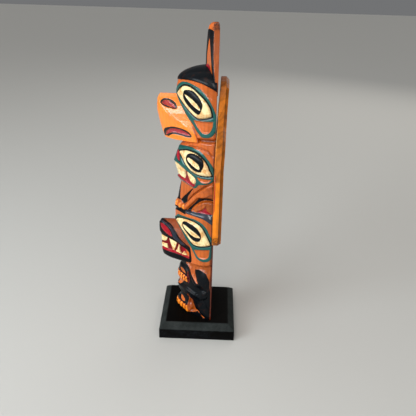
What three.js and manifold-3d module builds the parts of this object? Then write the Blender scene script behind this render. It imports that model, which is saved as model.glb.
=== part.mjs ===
// A small carved and painted cedar totem pole on a bevelled stand: a crested bird with a hooked beak sits
// on a squatting figure, which sits on a beast with a long open jaw. One board with both wings backs the pole.
// Millimetres, +Z up. The carved faces look along -Y, and the origin is the centre of the stand's underside.

import * as THREE from 'three';
import { ConvexGeometry } from 'three/addons/geometries/ConvexGeometry.js';
import { mergeVertices } from 'three/addons/utils/BufferGeometryUtils.js';
import Module from 'manifold-3d';

const wasm = await Module();
wasm.setup();

// ---------------------------------------------------------------- driving dimensions

const STAND = { side: 88, thickness: 19.3, bevelInset: 7, bevelDrop: 6.3 };
const SEAT_GAP = 0.3;

// The trunk is carved from one half-round blank. Its plan is a rounded wedge with a flat back.
const TRUNK = {
  halfWidth: 30.2,
  backPlane: 14.4,
  foot: STAND.thickness + SEAT_GAP,
  domeTop: 308.4,
  roundness: 1.45,
  columns: 20,
  domeRows: 7,
};

// Heights on the trunk's front centre line, with how far the wood stands in front of the back plane.
const FRONT_LINE = [
  [19.6, 38.4], [27, 38.2], [38, 35.8], [46.9, 37.2], [56, 37.5], [64.2, 39.0], [72, 37.8], [81.4, 37.3],
  [92, 37.8], [110, 40.2], [135.8, 42.5], [150.4, 42.5], [153.7, 42.6], [159, 42.4], [163.4, 41.6],
  [176, 39.6], [184, 38.0], [188.3, 39.4], [195.9, 39.5], [201, 41.2], [208.1, 43.2], [214, 41.2],
  [225.6, 37.2], [233, 34.0], [240, 36.0], [262, 39.2], [279.2, 40.6], [287.2, 40.6], [294, 39.2],
];

// Lines that run round the trunk, each with its height at the front, the quarter, the side and the rear.
const COURSE = {
  foot: [19.6, 19.6, 19.6, 19.6],
  neckLow: [84, 86, 87, 91],
  neckHigh: [88, 90, 91, 95.5],
  ledgeLow: [149, 151.8, 151, 147],
  ledgeHigh: [151, 155.2, 158, 157],
  lipLow: [186.5, 184, 186, 193],
  lipHigh: [189, 187, 189.5, 196],
  browLow: [226.5, 232, 234.5, 236],
  groove: [229.5, 234.6, 237, 238.6],
  chin: [232.5, 237.2, 240, 242],
  capLow: [292.4, 295, 294.1, 287.6],
  capHigh: [293.4, 296.1, 295.2, 288.8],
};

// Rows of facets laid between one course and the next, from the foot up.
const ROWS = [
  ['foot', 'neckLow', 19], ['neckLow', 'neckHigh', 2], ['neckHigh', 'ledgeLow', 15],
  ['ledgeLow', 'ledgeHigh', 2], ['ledgeHigh', 'lipLow', 11], ['lipLow', 'lipHigh', 1],
  ['lipHigh', 'browLow', 11], ['browLow', 'groove', 1], ['groove', 'chin', 1], ['chin', 'capLow', 13],
  ['capLow', 'capHigh', 1],
];

// How far each kind of carving stands out from the trunk, or is cut into it (negative).
const CARVE = {
  cap: 1.8, eyeball: 2.6, socket: -0.9, brow: 0.9, cheek: -1.1, groove: -3.2, seam: -1.2, neck: -2.2,
  ledge: -2.6, chest: -1.2, arm: 2.2, thigh: 1.6, underArm: -1.6, mouth: -1.6, tooth: 1.1, lip: 0.8,
  hand: 1.6, forearm: 1.2, haunch: 2.2, wedge: -1.8, leg: 1.9, foot: 1.8, gap: -2.8,
};

// ---------------------------------------------------------------- small helpers

const clamp01 = (x) => Math.min(1, Math.max(0, x));

/** 0 below a, 1 above b and a soft step between them. */
function softStep(a, b, x) {
  const t = clamp01((x - a) / (b - a));
  return t * t * (3 - 2 * t);
}

/** The value of a table of [key, value] pairs at x, by straight lines. */
function tableAt(table, x) {
  const last = table.length - 1;
  if (x <= table[0][0]) return table[0][1];
  for (let i = 0; i < last; i += 1) {
    const [x0, y0] = table[i];
    const [x1, y1] = table[i + 1];
    if (x <= x1) return y0 + ((y1 - y0) * (x - x0)) / (x1 - x0);
  }
  return table[last][1];
}

/** The smooth curve through four evenly spaced values, for t from 0 to 1. */
function throughFour([a, b, c, d], t) {
  const u = 3 * t;
  return (-a * (u - 1) * (u - 2) * (u - 3) + 3 * b * u * (u - 2) * (u - 3)
    - 3 * c * u * (u - 1) * (u - 3) + d * u * (u - 1) * (u - 2)) / 6;
}

/** Distance from a point to a chain of straight lines. */
function distanceToPath(path, s, z) {
  let best = Infinity;
  for (let i = 0; i < path.length - 1; i += 1) {
    const [s0, z0] = path[i];
    const ds = path[i + 1][0] - s0;
    const dz = path[i + 1][1] - z0;
    const t = clamp01(((s - s0) * ds + (z - z0) * dz) / (ds * ds + dz * dz));
    best = Math.min(best, Math.hypot(s - s0 - t * ds, z - z0 - t * dz));
  }
  return best;
}

/** A solid of manifold-3d from vertices and triangles. */
function solidFrom(vertices, triangles) {
  const geometry = new THREE.BufferGeometry();
  geometry.setAttribute('position', new THREE.Float32BufferAttribute(vertices.flat(), 3));
  geometry.setIndex(triangles.flat());
  return solidFromGeometry(geometry);
}

/** A solid of manifold-3d from a closed three.js geometry. */
function solidFromGeometry(geometry) {
  const bare = geometry.clone();
  bare.deleteAttribute('normal');
  bare.deleteAttribute('uv');
  const merged = mergeVertices(bare, 1e-4);
  const vertProperties = new Float32Array(merged.getAttribute('position').array);
  const triVerts = new Uint32Array(merged.getIndex().array);
  return new wasm.Manifold(new wasm.Mesh({ numProp: 3, vertProperties, triVerts }));
}

/** A three.js geometry from a solid of manifold-3d. */
function geometryFrom(solid) {
  const mesh = solid.getMesh();
  const geometry = new THREE.BufferGeometry();
  geometry.setAttribute('position', new THREE.BufferAttribute(mesh.vertProperties, 3));
  geometry.setIndex(new THREE.BufferAttribute(mesh.triVerts, 1));
  return geometry;
}

/** A closed solid through rings of equal length, stacked from the first to the last, each seen
 *  counter-clockwise from the last. Flat ends are closed by a fan about the ring's middle. */
function stackedSolid(rings) {
  const count = rings[0].length;
  const vertices = rings.flat();
  const triangles = [];
  for (let i = 0; i < rings.length - 1; i += 1) {
    for (let j = 0; j < count; j += 1) {
      const a = i * count + j;
      const b = i * count + ((j + 1) % count);
      triangles.push([a, b, b + count], [a, b + count, a + count]);
    }
  }
  const middle = (ring) => [0, 1, 2].map((k) => ring.reduce((sum, p) => sum + p[k], 0) / count);
  const low = vertices.push(middle(rings[0])) - 1;
  const high = vertices.push(middle(rings[rings.length - 1])) - 1;
  const top = (rings.length - 1) * count;
  for (let j = 0; j < count; j += 1) {
    const k = (j + 1) % count;
    triangles.push([low, k, j], [high, top + j, top + k]);
  }
  return solidFrom(vertices, triangles);
}

const mirrored = (solid) => solid.mirror([1, 0, 0]);

// ---------------------------------------------------------------- the trunk's plan and courses

/** The plan at one height as a chain of points from the front line to the rear edge, with running length. */
function planAt(z) {
  const depth = tableAt(FRONT_LINE, z);
  const power = 2 / TRUNK.roundness;
  const steps = 48;
  const chain = [];
  let run = 0;
  for (let i = 0; i <= steps; i += 1) {
    const angle = (Math.PI / 2) * (i / steps) ** 1.3;
    const x = TRUNK.halfWidth * Math.sin(angle) ** power;
    const y = TRUNK.backPlane - depth * Math.max(0, Math.cos(angle)) ** power;
    if (i > 0) run += Math.hypot(x - chain[i - 1].x, y - chain[i - 1].y);
    chain.push({ x, y, run });
  }
  return chain;
}

/** The point at a share of the way round the plan (0 front, 1 rear), with its outward direction and arc s. */
function planPoint(chain, share) {
  const s = share * chain[chain.length - 1].run;
  let i = 1;
  while (i < chain.length - 1 && chain[i].run < s) i += 1;
  const a = chain[i - 1];
  const b = chain[i];
  const t = clamp01((s - a.run) / (b.run - a.run));
  const length = b.run - a.run;
  const nx = share === 0 ? 0 : -(b.y - a.y) / length;
  const ny = share === 0 ? -1 : (b.x - a.x) / length;
  return { x: a.x + t * (b.x - a.x), y: a.y + t * (b.y - a.y), nx: Math.abs(nx), ny: -Math.abs(ny), s };
}

const courseAt = (name, share) => throughFour(COURSE[name], share);

// ---------------------------------------------------------------- the carving on the trunk
// Each feature takes s, the distance round from the front line, and z, and gives its relief in millimetres.

/** A leaf-shaped eye, pointed at both ends, on a sunk socket under a raised brow. */
function eyeRelief({ front, rear, bulge }, s, z) {
  const ds = rear[0] - front[0];
  const dz = rear[1] - front[1];
  const length = Math.hypot(ds, dz);
  const along = ((s - front[0]) * ds + (z - front[1]) * dz) / length;
  const across = (-(s - front[0]) * dz + (z - front[1]) * ds) / length;
  const t = along / length;
  if (t < -0.15 || t > 1.15) return 0;
  const half = bulge * Math.sqrt(clamp01(4 * t * (1 - t)) + 0.02);
  const r = Math.abs(across) / half;
  const round = Math.sqrt(Math.max(0, 1 - r * r));
  const ball = CARVE.eyeball * round * softStep(0, 0.3, t) * softStep(0, 0.3, 1 - t);
  const edge = Math.abs(across) - half;
  const socket = CARVE.socket * Math.exp(-(((edge - 1) / 2) ** 2));
  const brow = across > 0 ? CARVE.brow * Math.exp(-(((edge - 4.5) / 2.2) ** 2)) : 0;
  return ball + (socket + brow) * softStep(-0.15, 0.1, t) * softStep(-0.15, 0.1, 1 - t);
}

/** A band of even width along a path, with soft edges. */
const bandRelief = (path, halfWidth, height) => (s, z) => (
  height * softStep(halfWidth + 1.6, halfWidth - 0.8, distanceToPath(path, s, z))
);

/** A rounded mound or, with a negative height, a hollow. */
const moundRelief = ({ centre, radii, tilt = 0, height }) => (s, z) => {
  const c = Math.cos(tilt);
  const q = Math.sin(tilt);
  const u = ((s - centre[0]) * c + (z - centre[1]) * q) / radii[0];
  const v = (-(s - centre[0]) * q + (z - centre[1]) * c) / radii[1];
  return height * softStep(1.15, 0.35, Math.hypot(u, v));
};

const BIRD_EYE = { front: [3, 281.5], rear: [47.5, 264.5], bulge: 12.5 };
const SITTER_EYE = { front: [5, 220], rear: [51.5, 201.5], bulge: 11.5 };
const BEAST_EYE = { front: [4.5, 140], rear: [51.5, 118.5], bulge: 11.5 };

/** The bird's head: cap, eyes, cheeks and the groove under its chin. */
function birdRelief(s, z, share) {
  const cap = CARVE.cap * softStep(courseAt('capLow', share) + 0.1, courseAt('capHigh', share) - 0.1, z)
    * (0.4 + 0.6 * softStep(0, 14, s));
  const cheek = moundRelief({ centre: [37, 252], radii: [10, 7], height: CARVE.cheek })(s, z);
  const seam = bandRelief([[4, 276], [17, 262.5], [26, 251], [30.5, 237]], 0.8, CARVE.seam)(s, z);
  return cap + cheek + seam + eyeRelief(BIRD_EYE, s, z);
}

/** The groove that parts the bird from the sitter. */
function chinGroove(s, z, share) {
  const low = courseAt('browLow', share);
  const mid = courseAt('groove', share);
  const high = courseAt('chin', share);
  return CARVE.groove * (z < mid ? softStep(low - 1, mid, z) : softStep(high + 1, mid, z));
}

/** The sitter's face: eyes, cheeks, and a mouth with two broad teeth on each side. */
function sitterFaceRelief(s, z) {
  const upperLip = tableAt([[0, 206], [6, 205.5], [16, 201], [30, 195], [33, 190]], s);
  const lowerLip = tableAt([[0, 191.5], [17, 190], [29, 187.5], [33, 190]], s);
  const between = softStep(upperLip + 0.6, upperLip - 0.6, z) * softStep(lowerLip - 1, lowerLip, z);
  const open = softStep(33, 30, s) * between;
  const teeth = Math.max(
    moundRelief({ centre: [9, 198], radii: [8, 7.5], tilt: -0.35, height: CARVE.tooth })(s, z),
    moundRelief({ centre: [25.5, 193.5], radii: [7.5, 5], tilt: -0.5, height: CARVE.tooth })(s, z),
  );
  const lip = bandRelief([[0, 188.6], [17, 186.5], [28, 184.8], [33, 188]], 1.2, CARVE.lip)(s, z);
  const cheek = moundRelief({ centre: [41, 194.5], radii: [7, 3.5], height: CARVE.cheek })(s, z);
  return open * (CARVE.mouth + teeth) + lip + cheek + eyeRelief(SITTER_EYE, s, z);
}

/** The sitter's body: a bent arm with its hand on the belly, over a drawn-up thigh. */
function sitterBodyRelief(s, z) {
  const upperArm = bandRelief([[50, 186], [38, 179], [29, 168.5], [21, 157.5]], 4.2, CARVE.arm)(s, z);
  const hand = bandRelief([[2, 156.5], [16, 158]], 3, CARVE.hand)(s, z);
  const under = bandRelief([[50, 175], [37, 172], [30.5, 165.5], [24, 156.5]], 0.9, CARVE.underArm)(s, z);
  const thigh = moundRelief({ centre: [44, 163], radii: [13, 8.5], height: CARVE.thigh })(s, z);
  return CARVE.chest + Math.max(upperArm, hand) + under + thigh;
}

/** The beast's face: eyes and cheeks. Its jaw is a solid of its own shape, joined on below. */
function beastFaceRelief(s, z) {
  const cheek = moundRelief({ centre: [40, 106], radii: [9, 7.5], height: CARVE.cheek })(s, z);
  const seam = bandRelief([[5, 136], [14, 127], [23, 115.5], [29.5, 104], [31, 92]], 0.8, CARVE.seam)(s, z);
  return cheek + seam + eyeRelief(BEAST_EYE, s, z);
}

/** The beast's body: paws held up under the jaw, haunch, shin and clawed feet. */
function beastBodyRelief(s, z) {
  const forearm = bandRelief([[20, 90], [24, 82], [30, 73], [35.5, 64]], 2.6, CARVE.forearm)(s, z);
  const paw = bandRelief([[3, 75], [10, 73], [18, 70]], 5, CARVE.hand)(s, z);
  const wedge = bandRelief([[26, 91], [31, 80], [35, 69]], 1, CARVE.wedge)(s, z);
  const haunch = moundRelief({ centre: [42, 72], radii: [10.5, 13], height: CARVE.haunch })(s, z);
  const shin = bandRelief([[6, 49], [18, 50], [32, 46], [42, 53]], 4.5, CARVE.leg)(s, z);
  const calf = bandRelief([[34, 42], [42, 32], [48, 22]], 5.5, CARVE.leg)(s, z);
  const foot = bandRelief([[2, 28], [10, 28], [19, 26]], 5.5, CARVE.foot)(s, z);
  const gap = bandRelief([[22.5, 39], [26, 30], [30, 22]], 1.6, CARVE.gap)(s, z);
  return forearm + paw + wedge + haunch + Math.max(shin, calf) + foot + gap;
}

/** All the carving at one place on the trunk. */
function reliefAt(s, z, share) {
  const ledge = courseAt('ledgeLow', share);
  const ledgeTop = courseAt('ledgeHigh', share);
  const lip = courseAt('lipLow', share);
  const neck = courseAt('neckLow', share);
  const nape = courseAt('neckHigh', share);
  if (z > courseAt('groove', share)) return birdRelief(s, z, share) + chinGroove(s, z, share);
  if (z > lip) {
    return sitterFaceRelief(s, z) + chinGroove(s, z, share) + CARVE.chest * softStep(lip + 4, lip, z);
  }
  if (z > ledge) {
    const step = CARVE.ledge * softStep(8, 30, s) * softStep(ledge, ledgeTop, z) * softStep(lip, lip - 20, z);
    return (sitterBodyRelief(s, z) + step) * softStep(ledge, ledgeTop, z);
  }
  if (z > neck) return beastFaceRelief(s, z) + CARVE.neck * softStep(nape + 0.5, neck, z);
  return beastBodyRelief(s, z) + CARVE.neck * softStep(neck - 22, neck, z);
}

// ---------------------------------------------------------------- the trunk

/** One row of the trunk from the right rear edge round the front to the left rear edge. */
function trunkRow(heightAt, shrink, rise) {
  const half = [];
  for (let j = 0; j <= TRUNK.columns; j += 1) {
    const share = (j / TRUNK.columns) ** 1.12;
    const z = heightAt(share);
    const p = planPoint(planAt(z), share);
    const relief = reliefAt(p.s, z, share);
    const x = p.x + p.nx * relief;
    const y = Math.min(TRUNK.backPlane, p.y + p.ny * relief);
    half.push([x * shrink, TRUNK.backPlane + (y - TRUNK.backPlane) * shrink, z + (TRUNK.domeTop - z) * rise]);
  }
  const right = half.slice(1).reverse().map(([x, y, z]) => [-x, y, z]);
  return [...right, ...half];
}

/** The whole trunk with its domed cap, as one solid. */
function makeTrunk() {
  const rings = [trunkRow((share) => courseAt('foot', share), 1, 0)];
  for (const [lower, upper, count] of ROWS) {
    for (let i = 1; i <= count; i += 1) {
      const t = i / count;
      rings.push(trunkRow((share) => courseAt(lower, share) * (1 - t) + courseAt(upper, share) * t, 1, 0));
    }
  }
  for (let i = 1; i < TRUNK.domeRows; i += 1) {
    const angle = (Math.PI / 2) * (i / TRUNK.domeRows);
    rings.push(trunkRow((share) => courseAt('capHigh', share), Math.cos(angle), Math.sin(angle)));
  }
  return stackedSolid(rings);
}

// ---------------------------------------------------------------- beak and jaw

// Both are wedges: a keel at the front, a roof that slopes from the ridge, and a rear edge sunk in the face.
const BEAK = {
  keel: [[234.8, -39], [241, -41.4], [250, -43.8], [262, -46.4], [268.5, -46.5], [274, -46], [277.5, -44.2], [279, -42.9]],
  roof: [[236, 22], [243.6, 21], [249.7, 19], [255, 17], [261.5, 13], [269, 9], [276, 2.5], [279, 0.4]],
  rear: [[236, -3], [243.6, -5], [249.7, -8], [255, -11], [261.5, -16], [269, -21], [279, -26.5]],
  levels: [234.8, 236, 240, 244, 248, 252, 256, 260, 264, 268.5, 272.5, 276, 278, 279],
  side: { width: 21.5, length: 33, power: 0.5 },
};

const JAW = {
  keel: [[89.5, -40], [91.5, -42.6], [96, -43.6], [117, -44.3], [121, -46.4], [126, -46.8], [132, -46.6], [136.4, -44]],
  roof: [[89.5, 21], [103.5, 21.5], [111.7, 19], [119, 15.3], [129, 10], [134.5, 4], [136.4, 0.8]],
  rear: [[89.5, -5], [103.5, -6], [111.7, -10], [119, -15], [129, -21], [136.4, -27]],
  levels: [89.5, 91.5, 95, 99, 104, 109, 113, 117, 121, 125, 129, 132.5, 135, 136.4],
  side: { width: 20.5, length: 38.5, power: 0.62 },
};

/** How far a wedge's side stands from the centre plane at y and z. */
function wedgeSide(wedge, y, z) {
  const reach = Math.max(0, y - tableAt(wedge.keel, z)) / wedge.side.length;
  return Math.min(wedge.side.width * reach ** wedge.side.power, tableAt(wedge.roof, z));
}

/** A beak or jaw as one solid, closed inside the head. */
function makeWedge(wedge) {
  const steps = 9;
  const rings = wedge.levels.map((z) => {
    const keel = tableAt(wedge.keel, z);
    const rear = tableAt(wedge.rear, z);
    const half = [];
    for (let j = 0; j <= steps; j += 1) {
      const y = keel + (rear - keel) * (j / steps) ** 1.5;
      half.push([wedgeSide(wedge, y, z) + (j > 0 ? 0.25 : 0), y, z]);
    }
    half.push([half[steps][0] * 0.6, rear + 7, z]);
    const other = half.slice(1).reverse().map(([x, y, h]) => [-x, y, h]);
    return [...other, ...half];
  });
  return stackedSolid(rings);
}

/** A pocket or tooth on a wedge's side: the outline, given as y and z, runs from one depth to another. */
function sidePrism(wedge, outline, inner, outer) {
  const fine = [];
  outline.forEach(([y, z], i) => {
    const [y1, z1] = outline[(i + 1) % outline.length];
    const pieces = Math.max(1, Math.round(Math.hypot(y1 - y, z1 - z) / 5));
    for (let k = 0; k < pieces; k += 1) fine.push([y + ((y1 - y) * k) / pieces, z + ((z1 - z) * k) / pieces]);
  });
  const flat = fine.map(([y, z]) => new THREE.Vector2(y, z));
  if (THREE.ShapeUtils.isClockWise(flat)) {
    flat.reverse();
    fine.reverse();
  }
  const faces = THREE.ShapeUtils.triangulateShape(flat, []);
  const count = fine.length;
  const at = (offset) => ([y, z]) => [Math.max(0.3, wedgeSide(wedge, y, z) + offset), y, z];
  const vertices = [...fine.map(at(inner)), ...fine.map(at(outer))];
  const triangles = [];
  faces.forEach(([a, b, c]) => triangles.push([a, c, b], [a + count, b + count, c + count]));
  for (let i = 0; i < count; i += 1) {
    const k = (i + 1) % count;
    triangles.push([i, k, k + count], [i, k + count, i + count]);
  }
  return solidFrom(vertices, triangles);
}

const OUTSIDE = 12;

const BEAK_POCKETS = [
  { depth: 1.4, outline: [[-38, 238], [-35, 245], [-26, 247], [-16, 245.6], [-9.8, 241], [-21, 240.8], [-30, 240.4]] },
  { depth: 1.0, outline: [[-42, 271], [-37, 273.7], [-32, 273.3], [-26, 267.5], [-28, 266.4], [-36, 268.6]] },
];

const JAW_POCKETS = [
  { depth: 3, outline: [[-48, 119], [-41, 117], [-33, 115], [-25, 112.3], [-18, 109], [-13.5, 104.5], [-11, 96],
    [-26, 98.3], [-40, 99.8], [-48, 100.5]] },
  { depth: 1.0, outline: [[-43.5, 131.5], [-37, 127.5], [-31, 118.8], [-36, 120.8], [-41.5, 126]] },
];

const JAW_TEETH = [
  [[-44.5, 119], [-37.8, 117], [-38.6, 108], [-43.5, 107.5]],
  [[-36.6, 117], [-24.5, 113.4], [-28.7, 101.4]],
  [[-43.6, 98.5], [-34.5, 98.5], [-41.3, 106.5]],
  [[-28.4, 97.5], [-19.8, 96.8], [-23, 110]],
  [[-19.6, 97], [-12.8, 96], [-16.4, 103.2]],
];

/** The hooked beak with its mouth line and nostrils cut in. */
function makeBeak() {
  let beak = makeWedge(BEAK);
  for (const { outline, depth } of BEAK_POCKETS) {
    const pocket = sidePrism(BEAK, outline, -depth, OUTSIDE);
    beak = beak.subtract(pocket).subtract(mirrored(pocket));
  }
  return beak;
}

/** The long open jaw with its nostrils and rows of teeth. */
function makeJaw() {
  let jaw = makeWedge(JAW);
  for (const { outline, depth } of JAW_POCKETS) {
    const pocket = sidePrism(JAW, outline, -depth, OUTSIDE);
    jaw = jaw.subtract(pocket).subtract(mirrored(pocket));
  }
  for (const outline of JAW_TEETH) {
    const tooth = sidePrism(JAW, outline, -4.5, -0.5);
    jaw = jaw.add(tooth).add(mirrored(tooth));
  }
  return jaw;
}

// ---------------------------------------------------------------- ears

// Each station: height, inner and outer side, the front face's inner edge and its outer ridge, and the rear.
const EAR_STATIONS = [
  [284, 3, 29.4, 6, 11.5, 14.4], [296, 3, 29.6, 3.2, 10.8, 14.4], [306, 2.8, 27.5, 3.2, 9.2, 14.6],
  [319, 2.6, 24, 3.3, 8.2, 14.9], [331, 2.8, 19.5, 3.9, 7.8, 15.2], [339.5, 3.4, 15.5, 4.6, 8, 15.2],
  [343.8, 4.6, 11.8, 6.2, 9, 14.8], [346, 5.4, 9.8, 8.4, 10, 14.2], [347, 6, 8.6, 10.2, 11, 13.4],
];

/** One tall ear with a slanted front face, on the +X side. */
function makeEar() {
  return stackedSolid(EAR_STATIONS.map(([z, inner, outer, front, ridge, rear]) => [
    [inner, front, z], [outer - 1.2, ridge - 0.6, z], [outer, ridge + 0.6, z], [outer, rear, z], [inner, rear, z],
  ]));
}

/** The whole pole, carved from one piece of wood. */
function makePole() {
  const ear = makeEar();
  const solid = makeTrunk().add(makeBeak()).add(makeJaw()).add(ear).add(mirrored(ear));
  return geometryFrom(solid);
}

// ---------------------------------------------------------------- stand and wing board

/** A square block with its upper edges bevelled. */
function makeStand() {
  const half = STAND.side / 2;
  const levels = [[0, half], [STAND.thickness - STAND.bevelDrop, half], [STAND.thickness, half - STAND.bevelInset]];
  const corners = levels.flatMap(([z, r]) => [[-r, -r], [r, -r], [r, r], [-r, r]]
    .map(([x, y]) => new THREE.Vector3(x, y, z)));
  return new ConvexGeometry(corners);
}

// The board leans back above the bend, and its rear edges are bevelled all round.
const WINGS = {
  front: TRUNK.backPlane + SEAT_GAP,
  thickness: 8.4,
  bevel: 3,
  bend: 228,
  lean: 0.05,
};

// Half of the board as distance from the centre plane and height: from the middle of the top, down the drooping
// shoulder and the outer edge, then along the feather ends to the middle of the bottom.
const WINGS_OUTLINE = [
  [0, 296], [13, 295], [22, 291.5], [26, 282], [34, 270], [48, 260], [64, 252], [73, 246.6], [76, 243],
  [84, WINGS.bend], [88, 219], [90.6, 192], [92, 167.5], [90.4, 158.5], [86.6, 153.4], [82, 152], [77.6, 154],
  [74.6, 159.4], [73, 167], [71.4, 162.6], [68.2, 159], [64, 157.8], [59.8, 159.6], [57, 164.6], [55.5, 172],
  [54, 168], [51, 165], [47, 164], [42.8, 165.8], [40, 170.6], [38.6, 177], [30, 179], [0, 179],
];

/** An outline moved inwards by a distance, each corner along the line that halves it. */
function insetOutline(outline, distance) {
  const count = outline.length;
  return outline.map(([x, z], i) => {
    const [xa, za] = outline[(i + count - 1) % count];
    const [xb, zb] = outline[(i + 1) % count];
    const before = new THREE.Vector2(x - xa, z - za).normalize();
    const after = new THREE.Vector2(xb - x, zb - z).normalize();
    const towards = new THREE.Vector2(-(before.y + after.y), before.x + after.x).normalize();
    const spread = Math.max(0.5, -before.y * towards.x + before.x * towards.y);
    return [x + (towards.x * distance) / spread, z + (towards.y * distance) / spread];
  });
}

/** The wing board as one closed shape, bent along a level line. */
function makeWings() {
  const half = [...WINGS_OUTLINE].reverse();
  const outline = [...half, ...half.slice(1, -1).reverse().map(([x, z]) => [-x, z])];
  const count = outline.length;
  const bendLeft = half.findIndex(([, z]) => z === WINGS.bend);
  const bendRight = count - bendLeft;
  const indices = outline.map((_, i) => i);
  const upper = indices.slice(bendLeft, bendRight + 1);
  const lower = [...indices.slice(bendRight), ...indices.slice(0, bendLeft + 1)];
  const layer = (points, depth) => points.map(([x, z]) => (
    [x, WINGS.front + WINGS.lean * Math.max(0, z - WINGS.bend) + depth, z]
  ));
  const vertices = [
    ...layer(outline, 0),
    ...layer(outline, WINGS.thickness - WINGS.bevel),
    ...layer(insetOutline(outline, WINGS.bevel), WINGS.thickness),
  ];
  const triangles = [];
  for (const part of [upper, lower]) {
    for (const [level, flip] of [[0, false], [2 * count, true]]) {
      const flat = part.map((i) => new THREE.Vector2(vertices[i + level][0], vertices[i + level][2]));
      for (const face of THREE.ShapeUtils.triangulateShape(flat, [])) {
        const [a, b, c] = face.map((i) => part[i] + level);
        triangles.push(flip ? [a, c, b] : [a, b, c]);
      }
    }
  }
  for (let i = 0; i < count; i += 1) {
    const k = (i + 1) % count;
    for (const level of [0, count]) {
      const [a, b, c, d] = [i + level, k + level, k + level + count, i + level + count];
      triangles.push([a, c, b], [a, d, c]);
    }
  }
  return geometryFrom(solidFrom(vertices, triangles));
}

// ---------------------------------------------------------------- the part

/** A named sub-part with a material of its own. */
function subPart(name, geometry, color, roughness) {
  const mesh = new THREE.Mesh(geometry, new THREE.MeshStandardMaterial({ color, roughness, metalness: 0 }));
  mesh.name = name;
  return mesh;
}

const totemPole = new THREE.Group();
totemPole.add(subPart('stand', makeStand(), 0x141312, 0.5));
totemPole.add(subPart('carved_pole', makePole(), 0xc56a35, 0.38));
totemPole.add(subPart('wings', makeWings(), 0xe08c36, 0.45));

export default totemPole;
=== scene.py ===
"""A carved and painted cedar totem pole on a bevelled stand, dressed for its looks.

Sizes inside the classes are millimetres; meshes are written in metres. The carved faces look along -Y and
+X is the figures' left. Carving on the trunk is laid out in (s, z): s is the distance round the trunk from
the front centre line, and z is the height. Carving on the beak and the jaw is laid out in (y, z), seen from
the side.
"""
import logging
import math
from dataclasses import dataclass, field
from enum import Enum
from typing import Sequence

import bpy
import numpy as np
from mathutils import Matrix, Vector


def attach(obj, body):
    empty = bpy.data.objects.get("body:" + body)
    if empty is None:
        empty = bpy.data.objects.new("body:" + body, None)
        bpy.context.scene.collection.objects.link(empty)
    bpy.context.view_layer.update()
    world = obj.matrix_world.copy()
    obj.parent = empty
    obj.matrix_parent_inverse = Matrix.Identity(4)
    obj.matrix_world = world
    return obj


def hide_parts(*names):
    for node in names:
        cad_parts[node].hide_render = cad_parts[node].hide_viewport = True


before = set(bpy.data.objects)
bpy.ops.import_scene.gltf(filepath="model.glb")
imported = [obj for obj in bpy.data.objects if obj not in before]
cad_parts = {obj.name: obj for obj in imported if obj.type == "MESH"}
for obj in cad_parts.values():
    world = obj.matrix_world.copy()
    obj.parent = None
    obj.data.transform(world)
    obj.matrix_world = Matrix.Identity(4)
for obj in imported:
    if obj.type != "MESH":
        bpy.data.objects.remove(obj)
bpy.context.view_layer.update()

MM = 0.001
# How far outside a shape its depth is still measured.
FAR = 9.0
FLIP = np.array([-1, 1, 1])
log = logging.getLogger("totem_pole")

Point = tuple[float, ...]
Array = np.ndarray
Colour = tuple[float, float, float, float]


# ------------------------------------------------------------------ small numeric helpers


def soft_step(low: float, high: float, x: Array) -> Array:
    """Rise smoothly from 0 to 1 as x goes from low to high, or fall where high lies below low."""
    t = np.clip((x - low) / (high - low), 0.0, 1.0)
    return t * t * (3.0 - 2.0 * t)


def table_at(table: Sequence[Point], x: Array) -> Array:
    """Read a table of (key, value) pairs by straight lines."""
    keys, values = zip(*table)
    return np.interp(x, keys, values)


def through_four(values: Sequence[float], share: Array) -> Array:
    """Read the smooth curve through four evenly spaced values.

    Args:
        values: The curve's values at its start, its thirds and its end.
        share: Where to read it, from 0 to 1.

    Returns:
        The values there.
    """
    a, b, c, d = values
    u = 3.0 * share
    return (
        -a * (u - 1) * (u - 2) * (u - 3)
        + 3 * b * u * (u - 2) * (u - 3)
        - 3 * c * u * (u - 1) * (u - 3)
        + d * u * (u - 1) * (u - 2)
    ) / 6


def nearest_on_path(path: Sequence[Point], u: Array, v: Array) -> tuple[Array, Array]:
    """Measure from points to a chain of straight lines.

    Args:
        path: The chain's corners.
        u: First coordinates of the points.
        v: Second coordinates.

    Returns:
        The distances, and the side of the nearest line that each point is on, positive to its left.
    """
    best = np.full(u.shape, math.inf)
    turn = np.zeros(u.shape)
    for (u0, v0), (u1, v1) in zip(path[:-1], path[1:]):
        du, dv = u1 - u0, v1 - v0
        t = np.clip(((u - u0) * du + (v - v0) * dv) / (du * du + dv * dv), 0, 1)
        gap = np.hypot(u - u0 - t * du, v - v0 - t * dv)
        turn = np.where(gap < best, du * (v - v0) - dv * (u - u0), turn)
        best = np.minimum(best, gap)
    return best, turn


def path_distance(path: Sequence[Point], u: Array, v: Array) -> Array:
    """Distance from points to a chain of straight lines."""
    return nearest_on_path(path, u, v)[0]


def crest(path: Sequence[Point], height: float, left: float, right: float, u: Array, v: Array) -> Array:
    """A sharp ridge along a path, whose slopes reach left and right as far as given."""
    gap, turn = nearest_on_path(path, u, v)
    return height * np.where(turn > 0, soft_step(left, 0, gap), soft_step(right, 0, gap))


def seam(path: Sequence[Point], height: float, reach: float, core: float, u: Array, v: Array) -> Array:
    """A soft line along a path, with its full height within core of it and nothing past reach."""
    return height * soft_step(reach, core, path_distance(path, u, v))


def band(path: Sequence[Point], half_width: float, height: float, u: Array, v: Array) -> Array:
    """A band of even width along a path, with soft edges, raised by height."""
    return seam(path, height, half_width + 1.6, half_width - 0.8, u, v)


def mound(centre: Point, radii: Point, height: float, u: Array, v: Array) -> Array:
    """A rounded mound or, with a negative height, a hollow."""
    return height * soft_step(1.15, 0.35, np.hypot((u - centre[0]) / radii[0], (v - centre[1]) / radii[1]))


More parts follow.
